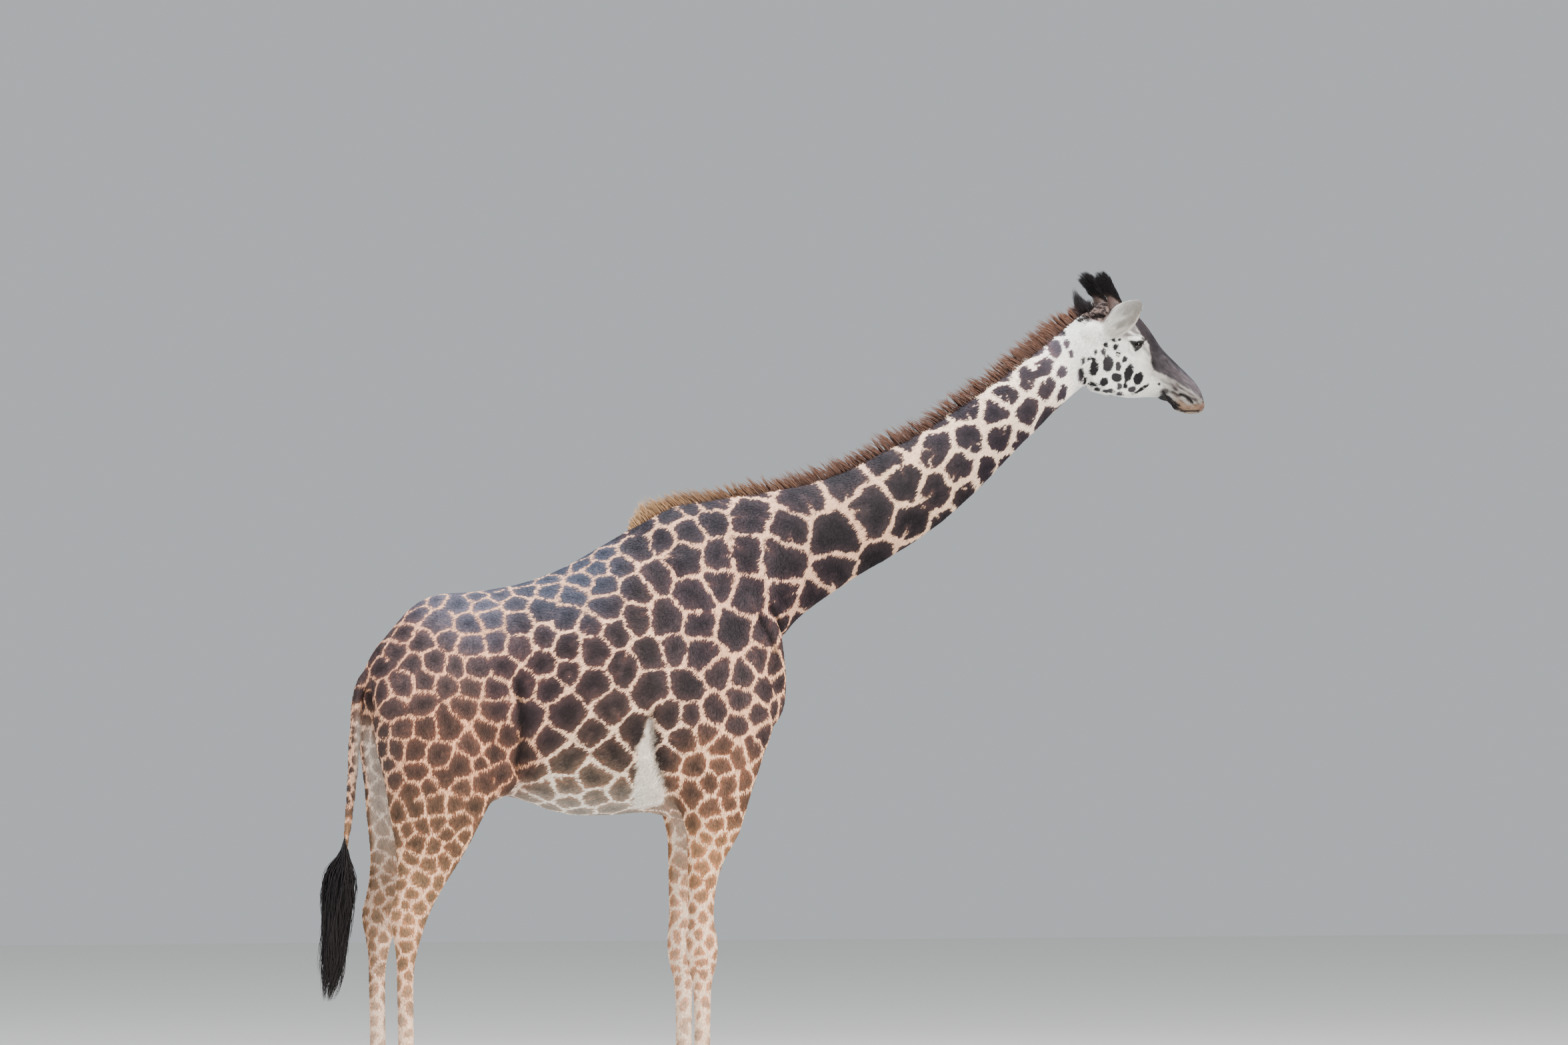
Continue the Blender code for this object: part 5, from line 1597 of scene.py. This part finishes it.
piece_of("mane_hair", data, ["mane"])

# ---------------------------------------------------------------- tail tuft
# Long black hair from the end of the tail, wavy and parted into a few hanging bunches.
TUFT_RIBS = [
    (-0.797, 1.345, -0.755, 1.345, 0.021, 0.020, 0),
    (-0.835, 1.280, -0.742, 1.275, 0.036, 0.026, 0),
    (-0.855, 1.180, -0.738, 1.170, 0.045, 0.032, 0),
    (-0.860, 1.060, -0.748, 1.055, 0.046, 0.040, 0),
    (-0.862, 0.940, -0.757, 0.935, 0.042, 0.050, 0),
    (-0.860, 0.830, -0.775, 0.830, 0.030, 0.058, 0),
    (-0.852, 0.740, -0.815, 0.740, 0.012, 0.064, 0),
]
TUFT_LOCKS = 900
TUFT_BUNCHES = 7
TUFT_STEPS = 10
chance = np.random.default_rng(62)
count = fewer(TUFT_LOCKS)
angle = chance.uniform(0, 2 * math.pi, count)
radius = np.sqrt(chance.random(count))
start = chance.uniform(-0.16, 0.35, count)
end = start + chance.uniform(0.45, 1.0, count)
end = np.minimum(end, 1 - 0.45 * radius * chance.random(count) ** 2)
paths = np.empty((count, TUFT_STEPS, 3))
bunch = chance.normal(0, 0.35, (TUFT_BUNCHES, 2))
which = chance.integers(0, TUFT_BUNCHES, count)
stray = 0.55 * chance.random(count) ** 3
for step in range(TUFT_STEPS):
    along = step / (TUFT_STEPS - 1)
    t = start + (end - start) * along
    row = along_rows(TUFT_RIBS, t)
    above = np.minimum(t, 0) * 0.9
    out = ramp(-0.16, 0.02, t) * (0.55 + 0.45 * along**0.5)
    wave = (0.12 + 0.20 * along) * np.sin(11 * t + angle * 3 + which)
    a = out * (radius * np.cos(angle) * 1.05 + bunch[which, 0] * along * 0.6 + wave)
    b = out * (radius * np.sin(angle) * 1.05 + bunch[which, 1] * along * 0.6 + wave)
    limit = np.maximum(np.hypot(a, b) / (1 + stray * along), 1)
    limit *= 1 - 0.24 * ramp(0.55, 0.2, t) * ramp(-0.1, 0.15, t)
    middle_x = (row[:, 0] + row[:, 2]) / 2
    paths[:, step, 0] = middle_x + (row[:, 2] - row[:, 0]) / 2 * a / limit - above * 0.02
    paths[:, step, 1] = row[:, 5] + row[:, 4] * b / limit + above * 0.06
    paths[:, step, 2] = (row[:, 1] + row[:, 3]) / 2 - above * 0.55
tone = hair_tones(chance, count, 0.3, 0.4, 2)
widths = chance.uniform(0.0035, 0.0065, count)
data = lock_mesh("tail_hair", paths, widths, (linear("#0e0b0c") * tone, linear("#1a1415") * tone))
piece_of("tail_hair", data, ["tail_tuft"])

# ---------------------------------------------------------------- horns
# Ossicones: short bony horns under skin and hair. The foot is broad and freckled, the
# shaft dull brown, and a brush of black hair stands round the blunt tip.
OSSICONE_FOOT = (2.4677, 0.060, 3.5314)
OSSICONE_TIP = (2.403, 0.070, 3.677)
OSSICONE_PROFILE = [
    (0.00, 0.042), (0.12, 0.037), (0.22, 0.0315), (0.38, 0.0255), (0.50, 0.0230),
    (0.60, 0.0220), (0.72, 0.0225), (0.84, 0.0220), (0.93, 0.0170), (0.98, 0.0080),
    (0.990, 0.0020),
]
OSSICONE_BEND = 0.014  # how far the middle stands forward of a straight line
OSSICONE_COLUMNS = 44
OSSICONE_HAIRS = 2200
horn_skin, tree, shader = new_material("horn_skin_with_short_hair")
place = node(tree, "ShaderNodeTexCoord").outputs["Object"]
dots = node(tree, "ShaderNodeTexNoise", {"Vector": place, "Scale": 120.0, "Detail": 1.0})
dotted = node(
    tree, "ShaderNodeMapRange",
    {"Value": dots.outputs["Fac"], "From Min": 0.50, "From Max": 0.56},
).outputs["Result"]
tone = node(tree, "ShaderNodeAttribute", attribute_name="tone").outputs["Color"]
foot_share = node(tree, "ShaderNodeAttribute", attribute_name="freckle").outputs["Fac"]
spot = node(tree, "ShaderNodeMath", {0: dotted, 1: foot_share}, operation="MULTIPLY").outputs[0]
mixed = node(
    tree, "ShaderNodeMix", {"Factor": spot, 6: tone, 7: (*linear("#241b1c"), 1)},
    data_type="RGBA",
)
fine = node(tree, "ShaderNodeTexNoise", {"Vector": place, "Scale": 500.0, "Detail": 3.0})
tree.links.new(mixed.outputs[2], shader.inputs["Base Color"])
bump = node(
    tree, "ShaderNodeBump",
    {"Height": fine.outputs["Fac"], "Strength": 0.4, "Distance": 0.001},
).outputs["Normal"]
tree.links.new(bump, shader.inputs["Normal"])
shader.inputs["Roughness"].default_value = 0.6
for side, word in ((1, "left"), (-1, "right")):
    chance = np.random.default_rng(63 + side)
    foot = np.array(OSSICONE_FOOT) * [1, side, 1]
    axis = np.array(OSSICONE_TIP) * [1, side, 1] - foot
    wide = unit(np.cross(axis, [0, 1, 0]))
    deep = unit(np.cross(axis, wide))
    if wide[0] < 0:
        wide = -wide
    profile = smooth_rows(OSSICONE_PROFILE, 4)
    turn = np.arange(OSSICONE_COLUMNS) * 2 * math.pi / OSSICONE_COLUMNS
    rings = []
    for share, radius in profile:
        arms = np.outer(np.cos(turn), wide) + np.outer(np.sin(turn), deep)
        curve = wide * OSSICONE_BEND * math.sin(math.pi * min(share, 1))
        knob = 1 + 0.05 * speckle(arms * 0.05 + foot + axis * share, 0.025, 70)
        rings.append(foot + axis * share + curve + arms * (radius * knob)[:, None])
    points, faces = tube(rings)
    data = faced_out(mesh_of(points, faces, "horn"))
    straight = data.copy()
    share = np.repeat(profile[:, 0], OSSICONE_COLUMNS)
    front = (vertices_of(data) - foot) @ wide
    brown = blended(linear("#4d3a34"), linear("#45322d"), ramp(0.25, 0.45, share))
    black = ramp(0.46, 0.60, share + 10 * np.maximum(front, 0))
    keep_colour(data, "tone", blended(brown, linear("#100c0e"), black))
    keep_value(data, "freckle", ramp(0.45, 0.25, share))
    data.polygons.foreach_set("use_smooth", np.ones(len(data.polygons), bool))
    put_vertices(data, placed(vertices_of(data)))
    data.materials.append(horn_skin)
    piece_of("horn_" + word, data, ["ossicone_" + word])
    # The hair: a dense cap round the tip, short hairs down the shaft.
    roots, facing = on_triangles(straight, fewer(OSSICONE_HAIRS) * 2, seed=64 + side)
    rise = (roots - foot) @ axis / (axis @ axis)
    cap = ramp(0.44, 0.58, rise + 10 * np.maximum((roots - foot) @ wide, 0))
    keep = chance.random(len(roots)) < np.maximum(cap, 0.35 * (rise > 0.05))
    roots = roots[keep]
    facing = facing[keep]
    rise = rise[keep]
    cap = cap[keep]
    count = len(roots)
    up = unit(axis)
    length = (0.009 + 0.014 * cap) * chance.uniform(0.6, 1.2, count)
    length *= 1 + 1.0 * ramp(0.70, 0.98, rise)
    lay = 0.50 * cap + 0.10
    first = unit_rows(facing * lay[:, None] + up * 1.0 + chance.normal(0, 0.12, (count, 3)))
    back = wide * -0.85 * cap[:, None]
    last = unit_rows(facing * 0.25 + up * 0.9 + back + chance.normal(0, 0.22, (count, 3)))
    paths = bent_paths(roots - facing * 0.0015, first, last, length, 4)
    tone = hair_tones(chance, count, 0.3, 0.4, 2)
    base = blended(linear("#513c34"), linear("#0b0809"), cap) * tone
    ends = blended(linear("#644c42"), linear("#141012"), cap) * tone
    widths = chance.uniform(0.0012, 0.0022, count) + 0.0012 * cap
    data = lock_mesh("horn_hair", paths, widths, (base, ends))
    piece_of("horn_hair_" + word, data, ["ossicone_hair_" + word])

# ---------------------------------------------------------------- lashes, ears, chin, poll
# Small hair that breaks the outline: lashes over the eye, pale hair in the ears, sparse
# bristles on the chin and a dark quiff at the poll.
LASHES = 90
EAR_HAIRS = 900
BRISTLES = 420
QUIFF_LOCKS = 900
CROWN_LOCKS = 420  # on each side of the quiff
chance = np.random.default_rng(65)
groups = []


def grow(roots, first, last, length, widths, base, tips):
    """Adds one kind of fine hair, with its colours at the root and at the tip."""
    groups.append((bent_paths(roots, first, last, length), widths, base, tips))


def strewn(spread, count):
    """Random turns for each of some hairs."""
    return chance.normal(0, spread, (count, 3))


for side in (1, -1):
    centre, forwards, upwards, outwards = eye_frame(side)
    turn = np.linspace(0.15, math.pi - 0.15, LASHES) + chance.normal(0, 0.02, LASHES)
    forward, rise = opening(turn)
    room = (EYE_RADIUS + 0.003) ** 2 - forward**2 - rise**2
    roots = centre + np.outer(forward, forwards) + np.outer(rise, upwards)
    roots += np.outer(np.sqrt(np.maximum(room, 0)) - 0.001, outwards)
    spread = np.outer(forward / 0.03, forwards)
    first = unit_rows(outwards + spread - upwards * 0.75)
    last = unit_rows(outwards * 0.6 + spread - upwards * 0.45 + strewn(0.08, LASHES))
    dark = linear("#0d0a0a") * np.ones((LASHES, 1))
    length = chance.uniform(0.007, 0.012, LASHES)
    grow(roots, first, last, length, np.full(LASHES, 0.0010), dark, dark)
    # Pale hair lines the ear and crosses its opening.
    foot, span, along, across, out = ear_frame(side)
    count = fewer(EAR_HAIRS)
    places = vertices_of(skin_straight)
    rise = (places - foot) @ along / span
    inner = (rise > 0.08) & (rise < 0.93) & (side * places[:, 1] > 0.09)
    inner &= (normals_of(skin_straight) @ out > 0.15) & (places[:, 0] < 2.60)
    roots, facing = on_triangles(skin_straight, count, inner.astype(float), 66 + side)
    aside = (roots - foot) @ across
    toward = -np.sign(aside)[:, None] * across
    first = unit_rows(facing * 0.5 + toward * 0.5 + along * 0.6)
    last = unit_rows(along * 0.9 + toward * 0.35 + facing * 0.15 + strewn(0.15, count))
    length = chance.uniform(0.008, 0.018, count) * ramp(0.0, 0.4, np.abs(aside) / 0.06 + 0.2)
    pale = linear("#b0a89f") * chance.uniform(0.7, 1.1, (count, 1))
    widths = chance.uniform(0.0012, 0.0022, count)
    grow(roots - facing * 0.001, first, last, length, widths, pale * 0.8, pale)

count = fewer(BRISTLES)
places = vertices_of(skin_straight)
muzzle = ramp(2.73, 2.80, places[:, 0]) * ramp(3.20, 3.15, places[:, 2])
roots, facing = on_triangles(skin_straight, count, muzzle, 68)
last = unit_rows(facing + [0.25, 0, -0.5] + strewn(0.2, count))
pale = linear("#9a8d84") * chance.uniform(0.3, 1.2, (count, 1))
length = chance.uniform(0.004, 0.011, count)
grow(roots - facing * 0.001, facing, last, length, np.full(count, 0.0008), pale, pale)

# The quiff stands in a point behind the horns, with flatter hair on each side of it.
count = fewer(QUIFF_LOCKS)
along = chance.normal(2.352, 0.018, count)
aside = chance.normal(0, 0.020, count)
roots, facing = root_on_skin(np.stack([along, aside, np.full(count, 3.56)], 1))
first = unit_rows(facing + [-0.15, 0, 0.6] + strewn(0.10, count))
last = unit_rows(facing * 0.3 + [-0.25, 0, 1.0] + strewn(0.08, count))
last[:, 1] -= roots[:, 1] * 12
last = unit_rows(last)
near = np.exp(-(((roots[:, 0] - 2.342) / 0.018) ** 2) - (roots[:, 1] / 0.02) ** 2)
length = (0.040 + 0.075 * near) * chance.uniform(0.75, 1.1, count)
dark = linear("#151012") * chance.uniform(0.6, 1.5, (count, 1))
widths = chance.uniform(0.0014, 0.0026, count)
grow(roots - facing * 0.003, first, last, length, widths, dark, dark * 1.3)
for side in (1, -1):
    count = fewer(CROWN_LOCKS)
    along = chance.uniform(2.300, 2.440, count)
    aside = side * chance.normal(0.048, 0.014, count)
    roots, facing = root_on_skin(np.stack([along, aside, np.full(count, 3.52)], 1))
    first = unit_rows(facing * 0.5 + [-0.7, 0, 0.35] + strewn(0.15, count))
    last = unit_rows(facing * 0.3 + [-0.9, 0, 0.1] + strewn(0.2, count))
    dark = linear("#1c1617") * chance.uniform(0.6, 1.6, (count, 1))
    length = chance.uniform(0.014, 0.026, count)
    widths = chance.uniform(0.0013, 0.0022, count)
    grow(roots - facing * 0.002, first, last, length, widths, dark, dark * 1.2)
paths, widths, base, tips = [np.concatenate(column) for column in zip(*groups)]
piece_of("fine_hair", lock_mesh("fine_hair", paths, widths, (base, tips)))

# ---------------------------------------------------------------- hooves
# Two claws of dark horn on each foot, grown in rings from the coronet, with a paler worn and
# scuffed edge where they meet the ground.
HOOF_HALF_WIDTH = 0.036
HOOF_SLIT = 0.012
HOOF_GROWTH = 0.006  # metres from ridge to ridge
HIND_TOE = -0.372
HOOF_RINGS = [
    # height at the toe and at the heel, how far front and back lie behind the toe, width
    (0.000, 0.000, 0.003, 0.173, 0.93),
    (0.004, 0.003, 0.000, 0.176, 0.97),
    (0.018, 0.014, 0.010, 0.182, 1.00),
    (0.060, 0.034, 0.044, 0.184, 0.98),
    (0.090, 0.048, 0.073, 0.179, 0.90),
    (0.100, 0.054, 0.083, 0.174, 0.84),
    (0.104, 0.058, 0.096, 0.164, 0.66),
]
hoof_horn, tree, shader = new_material("dark_worn_hoof_horn")
place = node(tree, "ShaderNodeTexCoord").outputs["Object"]
height = node(tree, "ShaderNodeSeparateXYZ", {0: place}).outputs["Z"]
stretched = node(
    tree, "ShaderNodeMapping", {"Vector": place, "Scale": (30.0, 30.0, 190.0)}
).outputs[0]
growth = node(tree, "ShaderNodeTexNoise", {"Vector": stretched, "Scale": 1.0, "Detail": 3.0})
worn = node(
    tree, "ShaderNodeMapRange",
    {"Value": height, "From Min": 0.0, "From Max": 0.018, "To Min": 1.0, "To Max": 0.0},
).outputs["Result"]
dusty = node(tree, "ShaderNodeTexNoise", {"Vector": place, "Scale": 40.0, "Detail": 5.0})
dust = node(
    tree, "ShaderNodeMath", {0: worn, 1: dusty.outputs["Fac"]}, operation="MULTIPLY"
).outputs[0]
horn_tone = node(
    tree, "ShaderNodeMix",
    {"Factor": growth.outputs["Fac"], 6: (*linear("#2b231e"), 1), 7: (*linear("#54463b"), 1)},
    data_type="RGBA",
)
scuffed = node(
    tree, "ShaderNodeMix",
    {"Factor": dust, 6: horn_tone.outputs[2], 7: (*linear("#8d7c69"), 1)},
    data_type="RGBA",
)
bump = node(
    tree, "ShaderNodeBump",
    {"Height": growth.outputs["Fac"], "Strength": 0.5, "Distance": 0.0015},
).outputs["Normal"]
tree.links.new(scuffed.outputs[2], shader.inputs["Base Color"])
tree.links.new(bump, shader.inputs["Normal"])
shader.inputs["Roughness"].default_value = 0.48


def claw(x, y, outer, count=56):
    """One claw: it slopes to its toe, has a flat sole and is straighter inside."""
    turn = np.arange(count) * 2 * math.pi / count
    rings = []
    for toe_z, heel_z, front, back, share in smooth_rows(HOOF_RINGS, 3):
        forward = (1 + np.cos(turn)) / 2
        across = np.copysign(np.abs(np.sin(turn)) ** 0.7, np.sin(turn))
        across = across * share * (1 - 0.30 * forward**2)
        across = np.where(across * outer < 0, across * 0.75, across)
        high = heel_z + (toe_z - heel_z) * forward
        run = x - back + (back - front) * forward
        rings.append(np.stack([run, y + across * HOOF_HALF_WIDTH, high], 1))
    return tube(rings)


hooves = bmesh.new()
nodes = []
for side, word in ((1, "left"), (-1, "right")):
    hind_toe = HIND_TOE + (HIND_STAGGER if side > 0 else 0)
    for place_word, toe, off in (("front", FORE_TOE, 0.170), ("hind", hind_toe, 0.165)):
        for outer, name in ((1, "outer"), (-1, "inner")):
            gap = (HOOF_HALF_WIDTH * 0.75 + HOOF_SLIT / 2) * outer
            points, faces = claw(toe, side * (off + gap), side * outer)
            hooves.from_mesh(mesh_of(points, faces))
            nodes.append("_".join(("hoof", place_word, word, name)))
data = bpy.data.meshes.new("hooves")
hooves.to_mesh(data)
hooves.free()
faced_out(data)
spots = vertices_of(data)
spots[:, 2] = np.maximum(spots[:, 2], 0)
ridges = 0.0005 * np.sin(spots[:, 2] * 2 * math.pi / HOOF_GROWTH + spots[:, 0] * 80)
spots += normals_of(data) * (ridges * ramp(0.006, 0.02, spots[:, 2]))[:, None]
put_vertices(data, placed(spots))
data.polygons.foreach_set("use_smooth", np.ones(len(data.polygons), bool))
data.materials.append(hoof_horn)
piece_of("hooves", data, nodes)

# ---------------------------------------------------------------- stand, light, camera
# A plain pale floor, soft light from large panels and a long lens level with the back.
FLOOR_HALF = 30.0
corners = [(x * FLOOR_HALF, y * FLOOR_HALF, 0) for x, y in ((-1, -1), (1, -1), (1, 1), (-1, 1))]
floor = bpy.data.objects.new("floor", mesh_of(corners, [(0, 1, 2, 3)], "floor"))
bpy.context.scene.collection.objects.link(floor)
floor_paint, tree, shader = new_material("matt_pale_paint")
shader.inputs["Base Color"].default_value = (0.74, 0.73, 0.70, 1)
shader.inputs["Roughness"].default_value = 0.8
floor.data.materials.append(floor_paint)

LAMPS = [
    # name, from, size, watts, tint
    ("sky_panel", (-0.5, -3.0, 13.0), 9.0, 4600, (0.90, 0.95, 1.0)),
    ("key_panel", (8.0, -15.0, 10.0), 5.0, 6200, (1.0, 0.95, 0.88)),
    ("fill_panel", (-12.0, -8.0, 4.0), 6.0, 900, (0.95, 0.97, 1.0)),
    ("back_panel", (-3.0, 10.0, 7.0), 6.0, 900, (1.0, 0.98, 0.95)),
]
aim = Vector((-0.1, 0, 1.9))
for name, place, size, power, tint in LAMPS:
    light = bpy.data.lights.new(name, "AREA")
    light.shape = "DISK"
    light.size = size
    light.energy = power
    light.color = tint
    lamp = bpy.data.objects.new(name, light)
    lamp.location = place
    lamp.rotation_euler = (Vector(place) - aim).to_track_quat("Z", "Y").to_euler()
    bpy.context.scene.collection.objects.link(lamp)
world = bpy.data.worlds.new("studio_air")
world.use_nodes = True
world.node_tree.nodes["Background"].inputs["Color"].default_value = (0.80, 0.84, 0.88, 1)
world.node_tree.nodes["Background"].inputs["Strength"].default_value = 0.62
bpy.context.scene.world = world

CAMERA_AZIMUTH = math.radians(-13)
CAMERA_AWAY = 53.0
CAMERA_HEIGHT = 2.68
LENS = 300.5  # millimetres on a 36 mm wide frame
FRAME_MIDDLE = 1.0152  # metres along the view's own width from the straight body's zero
across_view = Vector((math.cos(CAMERA_AZIMUTH), math.sin(CAMERA_AZIMUTH), 0))
back = Vector((math.sin(CAMERA_AZIMUTH), -math.cos(CAMERA_AZIMUTH), 0))
lens = bpy.data.cameras.new("camera")
lens.lens = LENS
lens.sensor_width = 36
lens.clip_start = 1.0
lens.clip_end = 200
camera = bpy.data.objects.new("camera", lens)
camera.location = Vector(settle) + across_view * FRAME_MIDDLE + back * CAMERA_AWAY
camera.location.z = CAMERA_HEIGHT
camera.rotation_euler = (math.pi / 2, 0, CAMERA_AZIMUTH)
bpy.context.scene.collection.objects.link(camera)
bpy.context.scene.camera = camera
